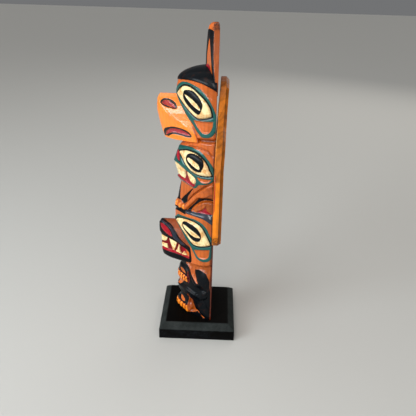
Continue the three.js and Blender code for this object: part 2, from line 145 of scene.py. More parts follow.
class Outline:
    """A closed painted or carved shape. A point with a third value is a sharp corner."""

    def __init__(self, *points: Point, smooth: bool = True) -> None:
        """Keep the outline's points, rounded between its corners unless it isn't smooth."""
        self.ring = self._curved(points) if smooth else [p[:2] for p in points]

    @staticmethod
    def _curved(points: Sequence[Point]) -> list[Point]:
        """Round an outline with a curve through its points, keeping its corners.

        Args:
            points: The outline's points in order.

        Returns:
            Four points for each one given.
        """
        count = len(points)
        ring: list[Point] = []
        for i, here in enumerate(points):
            after = points[(i + 1) % count]
            before = here if len(here) > 2 else points[i - 1]
            beyond = after if len(after) > 2 else points[(i + 2) % count]
            for t in (0, 0.25, 0.5, 0.75):
                ring.append(tuple(
                    0.5 * (2 * here[c] + (after[c] - before[c]) * t
                           + (2 * before[c] - 5 * here[c] + 4 * after[c] - beyond[c]) * t * t
                           + (3 * here[c] - before[c] - 3 * after[c] + beyond[c]) * t ** 3)
                    for c in (0, 1)
                ))
        return ring

    def depth(self, u: Array, v: Array) -> Array:
        """Measure how far inside the outline each point lies.

        Args:
            u: First coordinates.
            v: Second coordinates.

        Returns:
            Signed distances, negative outside and cut off at FAR there.
        """
        ring = np.array(self.ring)
        low, high = ring.min(0) - FAR, ring.max(0) + FAR
        near = (u > low[0]) & (u < high[0]) & (v > low[1]) & (v < high[1])
        result = np.full(u.shape, -FAR)
        if not near.any():
            return result
        pu, pv = u[near], v[near]
        best = np.full(pu.shape, math.inf)
        inside = np.zeros(pu.shape, bool)
        for (u0, v0), (u1, v1) in zip(ring, np.roll(ring, -1, axis=0)):
            du, dv = u1 - u0, v1 - v0
            length = du * du + dv * dv
            if length < 1e-9:
                continue
            t = np.clip(((pu - u0) * du + (pv - v0) * dv) / length, 0, 1)
            best = np.minimum(best, np.hypot(pu - u0 - t * du, pv - v0 - t * dv))
            if abs(dv) > 1e-9:
                inside ^= ((v0 > pv) != (v1 > pv)) & (pu < u0 + du * (pv - v0) / dv)
        result[near] = np.maximum(np.where(inside, best, -best), -FAR)
        return result

    def step(self, height: float, start: float, full: float, u: Array, v: Array) -> Array:
        """Relief inside the outline, or a cut with a negative height, that eases in between two depths."""
        return height * soft_step(start, full, self.depth(u, v))


def any_of(*depths: Array) -> Array:
    """The depth in a union of shapes."""
    return np.maximum.reduce(depths)


def without(depth: Array, *holes: Array) -> Array:
    """The depth in a shape with holes taken out of it."""
    return np.minimum.reduce([depth, *[-hole for hole in holes]])


# ------------------------------------------------------------------ what every piece shares


class Paint(Enum):
    """The paints, in the order they are laid on; each names its depth attribute."""

    GREEN = "paint_green"
    ORANGE = "paint_orange"
    RED = "paint_red"
    CREAM = "paint_cream"
    # A painted highlight: blue-grey where black paint catches the light, on the ledge's top and the jaw's
    # ridge beside the nostril.
    SLATE = "paint_slate"
    BLACK = "paint_black"


class Side(Enum):
    """The figures' own left and right, as the sign of x there."""

    LEFT = 1
    RIGHT = -1


class Piece:
    """A sub-assembly: it builds its mesh and dresses it with its finish, hiding the CAD node that it stands
    for.
    """

    slot = "painted_cedar"
    node = "carved_pole"

    def dress(self, piece: bpy.types.Object, material: bpy.types.Material) -> None:
        """Give a mesh its finish, hang it on the root, and hide the CAD node it stands for.

        Args:
            piece: The object that this class has built.
            material: Its finish.
        """
        slot, node = self.slot, self.node
        piece.data.materials.clear()
        piece.data.materials.append(material)
        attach(piece, "root")
        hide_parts(node)
        piece.data.calc_loop_triangles()
        log.info("%s: %d triangles", piece.name, len(piece.data.loop_triangles))


def build_piece(
    name: str, vertices: Array, faces: Sequence[Sequence[int]], layers: dict[str, Array], angle: float = 42.0
) -> bpy.types.Object:
    """Make an object from vertices in millimetres.

    Args:
        name: The piece's name.
        vertices: One row of x, y, z for each vertex.
        faces: Vertex indices of each face, seen counter-clockwise from outside.
        layers: Point attributes, such as the depth inside each paint's shape.
        angle: The edge angle in degrees above which an edge stays sharp.

    Returns:
        The new object, smooth shaded.
    """
    mesh = bpy.data.meshes.new(name)
    mesh.from_pydata((np.asarray(vertices) * MM).tolist(), [], faces)
    for key, values in layers.items():
        mesh.attributes.new(key, "FLOAT", "POINT").data.foreach_set("value", np.asarray(values, np.float32))
    mesh.validate()
    piece = bpy.data.objects.new(name, mesh)
    bpy.context.scene.collection.objects.link(piece)
    select_only(piece)
    bpy.ops.object.shade_smooth_by_angle(angle=math.radians(angle))
    return piece


def select_only(piece: bpy.types.Object) -> None:
    """Deselect everything but one object, and make it active.

    Args:
        piece: The object.
    """
    bpy.ops.object.select_all(action="DESELECT")
    piece.select_set(True)
    bpy.context.view_layer.objects.active = piece


def ring_faces(rows: int, count: int) -> list[tuple[int, ...]]:
    """Join stacked closed rings, and close each end as a fan about an extra vertex after the last ring.

    Args:
        rows: How many rings there are.
        count: Points in a ring.

    Returns:
        The faces, as vertex indices.
    """
    faces: list[tuple[int, ...]] = []
    for i in range(rows - 1):
        for j in range(count):
            here, beside = i * count + j, i * count + (j + 1) % count
            faces.append((here, beside, beside + count, here + count))
    low, high, top = rows * count, rows * count + 1, (rows - 1) * count
    faces += [(low, (j + 1) % count, j) for j in range(count)]
    return faces + [(high, top + j, top + (j + 1) % count) for j in range(count)]


def stacked_piece(name: str, rings: Array, layers: dict[str, Array], angle: float = 42.0) -> bpy.types.Object:
    """Make a closed piece from stacked rings.

    Args:
        name: The piece's name.
        rings: Points as rows by ring by three.
        layers: Attributes as rows by ring.
        angle: The edge angle in degrees above which an edge stays sharp.

    Returns:
        The new object.
    """
    ends = np.array([rings[0].mean(0), rings[-1].mean(0)])
    vertices = np.vstack([rings.reshape(-1, 3), ends])
    flat = {key: np.concatenate([v.reshape(-1), [v[0].mean(), v[-1].mean()]]) for key, v in layers.items()}
    return build_piece(name, vertices, ring_faces(*rings.shape[:2]), flat, angle)


def mirrored(left: Array, *rear: Array) -> Array:
    """Rows from the right edge round the front to the left edge, then the rear columns."""
    return np.concatenate([left[:, :0:-1], left, *rear], axis=1)


def mirrored_rings(left: Array, *rear: Array) -> Array:
    """Whole rings of points from those of the left half, whose first column lies on the centre line."""
    return np.concatenate([left[:, :0:-1] * FLIP, left, *rear], axis=1)


# ------------------------------------------------------------------ the trunk


@dataclass(frozen=True)
class Eye:
    """A leaf-shaped eye: the cream ball, the dark pupil and the light slit in it."""

    ball: Outline
    pupil: Outline
    slit: Outline
    rim: float
    bulge: float = 2.3
    round_over: float = 8.0

    def relief(self, s: Array, z: Array) -> Array:
        """Carve the eye and the sunk ring about it.

        Args:
            s: Distances round the trunk.
            z: Heights.

        Returns:
            The relief.
        """
        ball = self.cream(s, z)
        rise = np.sqrt(np.maximum(0, 1 - (1 - np.clip(ball / self.round_over, 0, 1)) ** 2))
        socket = -0.9 * np.exp(-(((-ball - 0.6) / 1.2) ** 2))
        pupil = self.pupil.step(0.45, -0.2, 0.8, s, z)
        return self.bulge * rise + socket + pupil + self.slit.step(-0.55, -0.2, 0.9, s, z)

    def cream(self, s: Array, z: Array) -> Array:
        """Depth inside the cream."""
        return self.ball.depth(s, z)

    def black(self, s: Array, z: Array) -> Array:
        """Depth inside the black: the rim about the cream, and the pupil with its slit left out."""
        rim = np.minimum(self.cream(s, z) + self.rim, -self.cream(s, z))
        return any_of(rim, without(self.pupil.depth(s, z), self.slit.depth(s, z)))


BIRD_EYE = Eye(
    Outline(
        (4.4, 280.6, 1), (7.6, 284.2), (12.7, 288.2), (16.4, 289.5), (22.7, 289.2), (28.2, 287.4),
        (33.9, 283.9), (39.7, 279.5), (43.7, 274.9), (46, 270.6), (47.2, 264.6), (46.4, 263.4, 1),
        (40.9, 261.5), (34.8, 260.2), (31, 260.5), (26.8, 262.6), (21.3, 266.5), (15.6, 271),
        (10.4, 275.2),
    ),
    Outline(
        (18.7, 286.2), (23.1, 287), (27.7, 286.6), (33, 283.4), (36.7, 279.9), (39.2, 276), (39.5, 272.8),
        (37.9, 268.7), (35.6, 265.2), (33, 264.8), (28.4, 267.4), (22.7, 271.4), (19, 275.1), (17, 279.3),
        (17.2, 283.8),
    ),
    Outline(
        (19.3, 282), (22.8, 281.3), (28.1, 278.8), (32.9, 275.4), (35.8, 272.4), (37, 269.4),
        (34.4, 269.8), (29.9, 272.2), (25.5, 275.7), (22, 279),
    ),
    rim=1.8,
)
SITTER_EYE = Eye(
    Outline(
        (5.6, 219.9, 1), (14.8, 223), (19.3, 223.7), (24.4, 223.8), (30.2, 223.1), (35.6, 220.9),
        (40.3, 218.1), (44.2, 214.7), (47.8, 210.3), (50.1, 206), (50.8, 202.3, 1), (45.5, 201.2),
        (41.3, 200.9), (37.3, 200.9), (31.7, 201.8), (27.1, 204.2), (23.6, 207.4), (19, 210.9),
        (13.4, 215.2),
    ),
    Outline(
        (23.1, 222.4), (20.9, 220.6), (20.7, 217.6), (22.1, 213.9), (25.3, 211), (29.8, 207.9),
        (33.4, 205.8), (37.6, 205), (41.6, 206.4), (43.1, 210.2), (42.5, 214.2), (40.1, 217.5),
        (35.9, 220.4), (31, 222.3), (26.5, 222.9),
    ),
    Outline(
        (23, 217.6), (26.3, 217.8), (31, 216.4), (35.9, 214), (38.9, 211.2), (40, 208.5), (37.4, 208.6),
        (32.7, 210.6), (28.2, 212.8), (24.2, 215.4),
    ),
    rim=1.5,
)
BEAST_EYE = Eye(
    Outline(
        (4.4, 138.6, 1), (8.3, 141.5), (14.9, 143.7), (23, 145), (29.6, 145), (35.4, 143.9), (40.8, 141.2),
        (44.4, 136.8), (47.3, 131.3), (49.6, 125.9), (51.5, 120.7, 1), (47.9, 118.9), (41.5, 116.9),
        (34.9, 116), (30.3, 116.8), (25.8, 120.6), (21.6, 124.8), (16.2, 129.8), (11, 135),
    ),
    Outline(
        (21.1, 142.8), (18.8, 141.3), (18.6, 138.2), (19.8, 134.2), (24.2, 130), (28.6, 125.6),
        (32.8, 123.3), (36.5, 122.7), (40.1, 124.2), (42.2, 128.1), (42.3, 132.2), (40.4, 136.4),
        (36.6, 140), (31.6, 142.2), (25, 143.2),
    ),
    Outline(
        (19.6, 138.9), (23.3, 138.9), (29.3, 136.7), (34.7, 134.2), (39.8, 131), (41, 128.8), (36, 128.4),
        (31.3, 129.4), (26.4, 132.3), (22.3, 135.2),
    ),
    rim=1.6,
)


class Shapes:
    """The other painted and cut shapes on the trunk, as (s, z)."""

    cap = Outline(
        (-9, 293.2, 1), (0, 293.3), (12, 295), (19, 295.8), (26.5, 295.6), (34, 294.8), (40, 293.5),
        (45, 291.5), (50, 289), (60, 284.4, 1), (60, 420, 1), (-9, 420, 1),
    )
    bird_green = Outline(
        (-1, 283.6, 1), (0, 284.5), (4.5, 289), (10, 292.4), (16, 293.3), (25, 292.2), (33, 289.8),
        (38, 287), (43, 282.4), (47, 277), (49.4, 272), (52, 266), (58, 260, 1), (58, 248, 1), (51, 248.6),
        (46, 243.8), (41, 241.6), (36, 241.2), (32, 243), (28, 247.3), (25, 252), (19, 258), (15, 262.5),
        (9, 269), (2, 276.6), (-1, 279, 1),
    )
    bird_cheek = Outline(
        (26.6, 257.6, 1), (37.9, 258), (48.5, 259, 1), (47.6, 254.4), (45.5, 249.7), (42.1, 246.4),
        (38.2, 245.5), (34.7, 246.8), (31.2, 250.5), (28.4, 254.4),
    )
    sitter_teal = Outline(
        (-1, 225.2, 1), (10.7, 227.4), (20.7, 228.3), (30.6, 227.1), (37.7, 224.4), (45.6, 218.4),
        (51, 213.3), (58, 206, 1), (58, 199.6, 1), (51, 195.8), (48, 193.4), (42, 190.7), (37, 189.8),
        (33.4, 188), (30, 184.8), (26, 183.4), (16.7, 186.4), (6, 188.4), (-1, 189, 1),
    )
    sitter_cheek = Outline(
        (33, 198, 1), (38.8, 197.6), (44.8, 197.9), (50, 198.2, 1), (46.1, 194.6), (42.3, 192.9),
        (38.3, 193.2), (35.2, 195),
    )
    sitter_nostril = Outline(
        (2, 220.6, 1), (5.8, 218.4), (8.8, 215.1), (12.2, 210, 1), (8.3, 210.9), (4.1, 213.4),
        (1.7, 216.6),
    )
    sitter_mouth = Outline(
        (-1, 207.6, 1), (8.8, 207), (13.9, 204.9), (19.9, 202.3), (26.5, 199), (30.4, 196), (31.6, 192),
        (29.6, 187, 1), (25.6, 184.9, 1), (20, 187), (10.6, 189.6), (-1, 190.6, 1),
    )
    sitter_teeth = (
        Outline(
            (0.8, 206.6, 1), (8.8, 206.2), (13.6, 204.4), (19.2, 201.8, 1), (17.2, 197), (15, 191.4, 1),
            (9, 192.4), (0.8, 193.2, 1),
        ),
        Outline(
            (20.5, 201.5, 1), (26.2, 198.4), (29.6, 195.7), (30.6, 192.3), (29.4, 188.8, 1), (26.4, 189),
            (22.8, 191.8), (20.6, 196),
        ),
    )
    chest_front = Outline(
        (-1, 191, 1), (3.9, 190, 1), (4.3, 184), (4.8, 179.8), (6.6, 172.4), (8.1, 166.4),
        (10.4, 164.5, 1), (4.6, 163.5), (-1, 163, 1),
    )
    chest_side = Outline(
        (26, 183.2, 1), (22.7, 176.6), (19.7, 171.2), (18.9, 165.1), (16.2, 161.1, 1), (13, 162.5),
        (10, 164.4, 1), (12.5, 168.1), (16.3, 172.9), (21, 178.5), (23.6, 181.6),
    )
    under_arm = Outline(
        (55, 173.2, 1), (51.1, 173.1), (43.9, 173.7), (36.3, 173), (33.2, 171.3), (30, 166.6),
        (25.6, 161.2), (20.6, 154.8, 1), (25.4, 155, 1), (28.8, 161), (32.4, 165.2), (36.8, 169),
        (42.9, 171.5), (55, 171.3, 1),
    )
    thigh_red = Outline(
        (44, 163.8, 1), (46.4, 160.4), (49.6, 158.2), (54, 155.6, 1), (44, 155.2, 1), (33.4, 154.8, 1),
        (36, 157.2), (40, 159.4), (42.4, 161.4),
    )
    arm_top = ((50, 192.6), (47.3, 190.9), (41.3, 186.9), (34.3, 180.9), (25.6, 171.3), (20.9, 163.6),
               (18, 156))
    arm_line = ((46, 191.4), (42.4, 189.1), (34.3, 183), (26.8, 175.2), (20, 165.6), (17.8, 160))
    arm_low = ((54, 175.2), (44, 175.7), (36, 175), (31.4, 171.4), (25.8, 164.2), (20.4, 157))
    knee = ((27.1, 157.2), (29.4, 160.6), (32.4, 163.6), (35.6, 166.4), (40.8, 168.8), (44, 170), (54, 169.6))
    fold = ((33.6, 156.6), (36.6, 158.9), (40.2, 161), (43.8, 165))
    brow_crease = ((17, 228.4), (20.7, 228.8), (29.5, 229.1), (35.6, 228.5), (41.3, 227.1), (44.7, 225),
                   (48, 222.6))
    beak_gap = ((23.4, 250.4), (25.6, 246.5), (27.2, 241.7), (27.4, 236.4))
    fingers = (
        Outline((1.8, 153.8), (4.6, 154), (5, 160.6), (2.2, 160.8)),
        Outline((9.3, 160.5), (11.3, 160.6), (12.2, 155.2), (9.6, 155)),
        Outline((14.8, 160.2), (17.1, 160.2), (17.6, 155.3), (14.6, 154.9)),
    )
    ledge = Outline(
        (-1, 153.9, 1), (4.5, 154), (12.8, 154.5), (19.4, 155.1), (26.5, 155.6), (40.7, 156.1),
        (58, 156, 1), (58, 143, 1), (52.5, 145.9), (48, 148.7), (41.9, 150.9), (32, 151.6), (21.4, 151.6),
        (11.7, 150.8), (2.9, 149.8), (-1, 149.6, 1),
    )
    ledge_front = Outline(
        (-1, 156, 1), (20.4, 156, 1), (20.8, 150, 1), (11.7, 150.8), (2.9, 149.8), (-1, 149.6, 1),
    )
    beast_green = Outline(
        (-1, 140.2, 1), (2.4, 141.4), (8, 146.3), (15, 147.3), (22, 147.8), (34, 148), (42.3, 145.3),
        (48.6, 139), (52, 131.4), (58, 124, 1), (58, 108, 1), (51.4, 103), (48.4, 99.5), (43, 97.2),
        (37.3, 97.2), (32.7, 99.7), (29.6, 106), (25.4, 112.4), (19.3, 119.4), (12.3, 129), (2.7, 136.4),
        (-1, 138, 1),
    )
    beast_cheek = Outline(
        (31.2, 110, 1), (40, 112.2), (50.4, 114.8, 1), (49.6, 108.5), (48, 104.5), (45.2, 101.9),
        (41.8, 100.8), (38.4, 100.7), (35.7, 102), (33, 105.8),
    )
    beast_body = Outline((-9, 91, 1), (10, 91, 1), (20, 93, 1), (60, 95, 1), (60, 0, 1), (-9, 0, 1))
    arm_wedge = Outline(
        (13.4, 86, 1), (15, 95, 1), (29.8, 95, 1), (28.5, 81), (30.6, 75), (33.6, 70.4), (37, 66.2, 1),
        (33, 67.8), (26, 74), (20.4, 82),
    )
    rear_wood = Outline(
        (28.6, 96, 1), (28.6, 82, 1), (32, 82.9), (35.3, 83.4), (40.6, 82.4), (44.4, 80.8), (46.6, 77.6),
        (49, 72.6), (50.2, 62.2), (51.2, 40, 1), (51.4, 12, 1), (60, 12, 1), (60, 98, 1),
    )
    paw_palm = Outline((4.8, 74.6, 1), (8.3, 76), (13.2, 75.1), (17.4, 71.9, 1), (12.2, 72.1), (8, 72.7))
    paw_claws = Outline(
        (-1, 70.6, 1), (2.2, 70.2), (8, 70.3), (14, 70.3), (19.8, 69.3, 1), (20, 61.4, 1), (13.1, 60.7),
        (6.8, 60.2), (-1, 59.9, 1),
    )
    paw_gaps = (
        ((2.4, 71), (1.8, 59)), ((7.8, 71), (5.8, 59)), ((13.6, 71), (11.8, 60)), ((17.4, 70), (16.4, 60)),
    )
    paw_patch = Outline(
        (18.8, 76.4, 1), (21.5, 74.2), (23.4, 68), (23.2, 64), (21.6, 60.4, 1), (20.2, 62.6), (20, 70),
    )
    belly = Outline((6.2, 59.2, 1), (13.2, 60.4, 1), (10, 56.4), (6.7, 53, 1), (1.4, 52.2, 1), (2.6, 57))
    foot_mark = Outline((3.2, 34.6, 1), (6.4, 35.5), (10.8, 34.5), (16, 31.6, 1), (11, 31.5), (6.6, 32.8))
    foot_claws = Outline(
        (-1, 28.5, 1), (2.3, 28.7), (8.6, 29.3), (15, 29.3), (21.9, 28.6, 1), (23.4, 20.6, 1), (20, 20.8),
        (18.4, 22), (16.6, 21.6), (14.2, 22.8), (11, 21.8), (8.4, 22.6), (4, 21.6), (-1, 21.8, 1),
    )
    foot_gaps = (
        ((3, 30), (2.6, 21)), ((8.8, 30), (8.2, 21)), ((14, 30), (14.2, 21)), ((18.2, 30), (18.6, 21)),
    )
    foot_wood = Outline(
        (20.6, 47.2, 1), (24.4, 40.6), (29.4, 33.2), (34.6, 26.2, 1), (31, 23.6), (27, 21.6),
        (23.8, 20.6, 1), (21.8, 25), (20, 31.5), (19.8, 38.6),
    )
    leg_line = ((34, 27.6), (38.6, 24.8), (45, 21))


@dataclass
class Trunk(Piece):
    """The carved trunk: the wedge-shaped plan, the courses round it and every shape cut or painted on it."""

    half_width: float = 30.2
    back_plane: float = 14.4
    dome_top: float = 308.4
    roundness: float = 1.45
    rear_step: float = 0.25
    low_rear_step: float = 1.35
    rear_narrowing: float = 0.992
    rear_strip: float = 0.97
    columns: int = 130
    column_spread: float = 1.12
    plan_samples: int = 161
    plan_spread: float = 1.3
    dome_rows: int = 26
    front_line: tuple[Point, ...] = (
        (19.6, 38.4), (27, 38.2), (38, 35.8), (46.9, 37.2), (56, 37.5), (64.2, 39), (72, 37.8), (81.4, 37.3),
        (92, 37.8), (110, 40.2), (135.8, 42.5), (150.4, 42.5), (153.7, 42.6), (159, 42.4), (163.4, 41.6),
        (176, 39.6), (184, 38.0), (188.3, 39.4), (195.9, 39.5), (201, 41.2), (208.1, 43.2), (214, 41.2),
        (225.6, 37.2), (233, 34.0), (240, 36.0), (262, 39.2), (279.2, 40.6), (287.2, 40.6), (294, 39.2),
    )
    courses: dict[str, Point] = field(default_factory=lambda: {
        "foot": (19.6, 19.6, 19.6, 19.6), "neck_low": (84, 86, 87, 91), "neck_high": (88, 90, 91, 95.5),
        "ledge_low": (149, 151.8, 151, 147), "ledge_high": (151, 155.2, 158, 157),
        "lip_low": (186.5, 184, 186, 193), "lip_high": (189, 187, 189.5, 196),
        "brow_low": (226.5, 232, 234.5, 236), "groove": (229.5, 234.6, 237, 238.6),
        "chin": (232.5, 237.2, 240, 242), "cap_low": (292.4, 295, 294.1, 287.6),
        "cap_high": (293.4, 296.1, 295.2, 288.8),
    })
    steps: tuple[tuple[str, str, int], ...] = (
        ("foot", "neck_low", 78), ("neck_low", "neck_high", 6), ("neck_high", "ledge_low", 72),
        ("ledge_low", "ledge_high", 7), ("ledge_high", "lip_low", 38), ("lip_low", "lip_high", 4),
        ("lip_high", "brow_low", 52), ("brow_low", "groove", 4), ("groove", "chin", 4),
        ("chin", "cap_low", 66), ("cap_low", "cap_high", 3),
    )

    def plan(self, share: Array, z: Array) -> tuple[Array, ...]:
        """Find places on the plan's curve, from the front line (share 0) to the rear edge (share 1).

        Args:
            share: Shares of the way round.
            z: Heights.

        Returns:
            x, y, the outward direction's x and y, and the distance s from the front line.
        """
        power = 2 / self.roundness
        angle = (math.pi / 2) * np.linspace(0, 1, self.plan_samples) ** self.plan_spread
        side = self.half_width * np.sin(angle) ** power
        front = np.maximum(0, np.cos(angle)) ** power
        out = np.empty((5, *share.shape))
        for index in np.ndindex(share.shape):
            y = self.back_plane - table_at(self.front_line, z[index]) * front
            run = np.concatenate([[0], np.cumsum(np.hypot(np.diff(side), np.diff(y)))])
            s = share[index] * run[-1]
            i = min(max(1, int(np.searchsorted(run, s))), len(run) - 1)
            length, dx, dy = run[i] - run[i - 1], side[i] - side[i - 1], y[i] - y[i - 1]
            t = (s - run[i - 1]) / length
            normal = (0, -1) if s == 0 else (dy / length, -dx / length)
            out[(slice(None), *index)] = (side[i - 1] + t * dx, y[i - 1] + t * dy, *normal, s)
        return tuple(out)

    def course(self, name: str, share: Array) -> Array:
        """Heights of a course round the trunk."""
        return through_four(self.courses[name], share)

    def bird(self, s: Array, z: Array, share: Array) -> Array:
        """Carve the bird's head.

        Args:
            s: Distances round the trunk.
            z: Heights.
            share: Shares of the way round.

        Returns:
            The relief.
        """
        rim = soft_step(0, 1, z - self.course("cap_low", share))
        cap = 1.8 * rim * (0.4 + 0.6 * soft_step(0, 14, s))
        mask = Shapes.bird_green.step(0.7, -0.3, 1.4, s, z)
        cheek = Shapes.bird_cheek.step(-1.1, -0.2, 1.3, s, z)
        brow_line = seam(((14, 293.6), (27, 292.4), (38, 288), (47, 281)), -0.5, 1.3, 0.2, s, z)
        gap = seam(Shapes.beak_gap, -1.0, 1.4, 0.1, s, z)
        return cap + mask + cheek + gap + brow_line * (1 - rim) + BIRD_EYE.relief(s, z)

    def chin_groove(self, z: Array, share: Array) -> Array:
        """Carve the groove that parts the bird from the sitter.

        Args:
            z: Heights.
            share: Shares of the way round.

        Returns:
            The relief.
        """
        low, mid, high = (self.course(name, share) for name in ("brow_low", "groove", "chin"))
        below = soft_step(0, 1, (z - low + 1) / (mid - low + 1))
        above = soft_step(0, 1, (high + 1 - z) / (high + 1 - mid))
        return -3.2 * np.where(z < mid, below, above)

    def sitter_face(self, s: Array, z: Array) -> Array:
        """Carve the sitter's face.

        Args:
            s: Distances round the trunk.
            z: Heights.

        Returns:
            The relief.
        """
        mouth = Shapes.sitter_mouth.step(-1.7, -0.2, 0.9, s, z)
        teeth = sum(tooth.step(1.5, -0.1, 1.0, s, z) for tooth in Shapes.sitter_teeth)
        mask = Shapes.sitter_teal.step(0.8, -0.3, 1.8, s, z)
        cheek = Shapes.sitter_cheek.step(-1.0, -0.2, 1.1, s, z)
        nostril = Shapes.sitter_nostril.step(-0.9, -0.2, 0.8, s, z)
        crease = -crest(Shapes.brow_crease, 1.3, 2.6, 0.9, s, z)
        return mouth + teeth + mask + cheek + nostril + crease + SITTER_EYE.relief(s, z)

    def sitter_body(self, s: Array, z: Array) -> Array:
        """Carve the sitter's chest, arm, hand and thigh.

        Args:
            s: Distances round the trunk.
            z: Heights.

        Returns:
            The relief.
        """
        arm = band(((50, 186), (38, 179), (29, 168.5), (21, 157.5)), 4.6, 1.3, s, z)
        arm = arm + crest(Shapes.arm_top, 1.1, 5.5, 0.7, s, z) + crest(Shapes.arm_low, 1.0, 0.9, 6.5, s, z)
        hand = band(((2, 156.5), (16, 158)), 3, 1.0, s, z)
        fingers = sum(finger.step(1.0, -0.3, 0.8, s, z) for finger in Shapes.fingers)
        under = Shapes.under_arm.step(-2.0, -2.4, 0.3, s, z)
        thigh = mound((44, 163), (13, 8.5), 1.4, s, z)
        knee = crest(Shapes.knee, 1.2, 1.6, 6, s, z)
        fold = crest(Shapes.fold, 1.2, 3.4, 0.7, s, z)
        red = Shapes.thigh_red.step(-0.8, -0.2, 1.0, s, z)
        chest = any_of(Shapes.chest_front.depth(s, z), Shapes.chest_side.depth(s, z))
        cuts = -0.8 * soft_step(-0.2, 0.8, chest)
        line = seam(Shapes.arm_line, -1.2, 1.5, 0.1, s, z)
        return -1.2 + np.maximum(arm, hand) + fingers + under + thigh + knee + fold + red + cuts + line

    def beast_face(self, s: Array, z: Array) -> Array:
        """Carve the beast's face.

        Args:
            s: Distances round the trunk.
            z: Heights.

        Returns:
            The relief.
        """
        mask = Shapes.beast_green.step(0.7, -0.3, 1.4, s, z)
        return mask + Shapes.beast_cheek.step(-1.1, -0.2, 1.3, s, z) + BEAST_EYE.relief(s, z)

    def beast_body(self, s: Array, z: Array) -> Array:
        """Carve the beast's paws, haunch, shin and feet.

        Args:
            s: Distances round the trunk.
            z: Heights.

        Returns:
            The relief.
        """
        forearm = band(((17, 86), (22, 79), (28, 71), (34, 64)), 2.4, 1.3, s, z)
        paw = band(((3, 74), (10, 73.5), (18, 71)), 5, 1.6, s, z)
        haunch = 2.2 * soft_step(1.15, 0.3, np.hypot((s - 41) / 10, (z - 71) / 12.5))
        shin = band(((4, 48), (18, 48.5), (32, 45), (42, 52)), 4.5, 1.9, s, z)
        calf = band(((34, 42), (42, 32), (48, 22)), 5.5, 1.9, s, z)
        foot = band(((2, 27), (10, 27), (20, 25.6)), 5.5, 1.8, s, z)
        knee_line = ((2, 52.4), (15.2, 52.8), (24.6, 51.9), (31.9, 50.4), (37.5, 48.7), (44, 56))
        cuts = sum(
            shape.step(-depth, -0.2, width, s, z)
            for shape, depth, width in (
                (Shapes.arm_wedge, 1.7, 1.6), (Shapes.paw_palm, 0.7, 0.8), (Shapes.paw_patch, 1.6, 1.0),
                (Shapes.foot_mark, 0.7, 0.8), (Shapes.foot_wood, 2.4, 2.2), (Shapes.rear_wood, 0.9, 1.2),
            )
        )
        claws = sum(shape.step(1.0, -0.2, 0.9, s, z) for shape in (Shapes.paw_claws, Shapes.foot_claws))
        gaps = sum(
            seam(gap, -1.4, 1.0, 0.1, s, z) * shape.step(1, -0.6, 0.4, s, z)
            for shape, group in ((Shapes.paw_claws, Shapes.paw_gaps), (Shapes.foot_claws, Shapes.foot_gaps))
            for gap in group
        )
        line = seam(Shapes.leg_line, -0.8, 1.3, 0.3, s, z)
        limbs = forearm + paw + haunch + np.maximum(shin, calf) + foot + crest(knee_line, 1.0, 3, 6, s, z)
        return limbs + cuts + claws + gaps + line

    def relief(self, s: Array, z: Array, share: Array) -> Array:
        """Put all the carving together, each figure in its own courses.

        Args:
            s: Distances round the trunk.
            z: Heights.
            share: Shares of the way round.

        Returns:
            How far the wood stands out from the plan's curve.
        """
        ledge, ledge_top = self.course("ledge_low", share), self.course("ledge_high", share)
        lip, neck, nape = (self.course(name, share) for name in ("lip_low", "neck_low", "neck_high"))
        on_ledge = soft_step(0, 1, (z - ledge) / (ledge_top - ledge))
        step = -2.6 * soft_step(8, 30, s) * on_ledge * soft_step(0, 1, (lip - z) / 20)
        groove = self.chin_groove(z, share)
        zones = [
            (z > self.course("groove", share), self.bird(s, z, share) + groove),
            (z > lip, self.sitter_face(s, z) + groove - 1.2 * soft_step(0, 1, (lip + 4 - z) / 4)),
            (z > ledge, (self.sitter_body(s, z) + step) * on_ledge),
            (z > neck, self.beast_face(s, z) - 2.2 * soft_step(0, 1, (nape + 0.5 - z) / (nape + 0.5 - neck))),
        ]
        base = self.beast_body(s, z) - 2.2 * soft_step(0, 1, (z - neck + 22) / 22)
        return np.select([test for test, _ in zones], [value for _, value in zones], base)

    def paints(self, s: Array, z: Array) -> dict[Paint, Array]:
        """Lay the paint out.

        Args:
            s: Distances round the trunk.
            z: Heights.

        Returns:
            The depth inside each paint's shapes.
        """
        eyes = (BIRD_EYE, SITTER_EYE, BEAST_EYE)
        inside = {
            name: shape.depth(s, z) for name, shape in vars(Shapes).items() if isinstance(shape, Outline)
        }
        paw, foot, patch = (inside[name] for name in ("paw_claws", "foot_claws", "paw_patch"))
        nostril = inside["sitter_nostril"]
        paw_gap = any_of(*[0.75 - path_distance(gap, s, z) for gap in Shapes.paw_gaps])
        foot_gap = any_of(*[0.65 - path_distance(gap, s, z) for gap in Shapes.foot_gaps])
        bare = [
            inside[name] for name in ("arm_wedge", "rear_wood", "paw_palm", "belly", "foot_mark", "foot_wood")
        ]
        leg_line = 0.6 - path_distance(Shapes.leg_line, s, z)
        return {
            Paint.GREEN: any_of(
                without(inside["bird_green"], inside["bird_cheek"]),
                without(inside["sitter_teal"], inside["sitter_cheek"]),
                without(inside["beast_green"], inside["beast_cheek"]),
            ),
            Paint.ORANGE: any_of(
                without(paw, paw_gap), without(foot, foot_gap), *[f.depth(s, z) for f in Shapes.fingers],
            ),
            Paint.RED: any_of(
                inside["sitter_mouth"], nostril, inside["thigh_red"], patch,
                np.minimum(paw, paw_gap), np.minimum(foot, foot_gap),
            ),
            Paint.CREAM: any_of(
                *[tooth.depth(s, z) for tooth in Shapes.sitter_teeth], *[eye.cream(s, z) for eye in eyes],
            ),
            # Painted highlight on the ledge's upward-facing top, behind its black front.
            Paint.SLATE: without(inside["ledge"], inside["ledge_front"]),
            Paint.BLACK: any_of(
                inside["cap"], inside["chest_front"], inside["chest_side"], inside["under_arm"],
                inside["ledge_front"], without(inside["beast_body"], *bare, paw, foot, patch, leg_line),
                np.minimum(nostril + 0.7, -nostril), *[eye.black(s, z) for eye in eyes],
            ),
        }

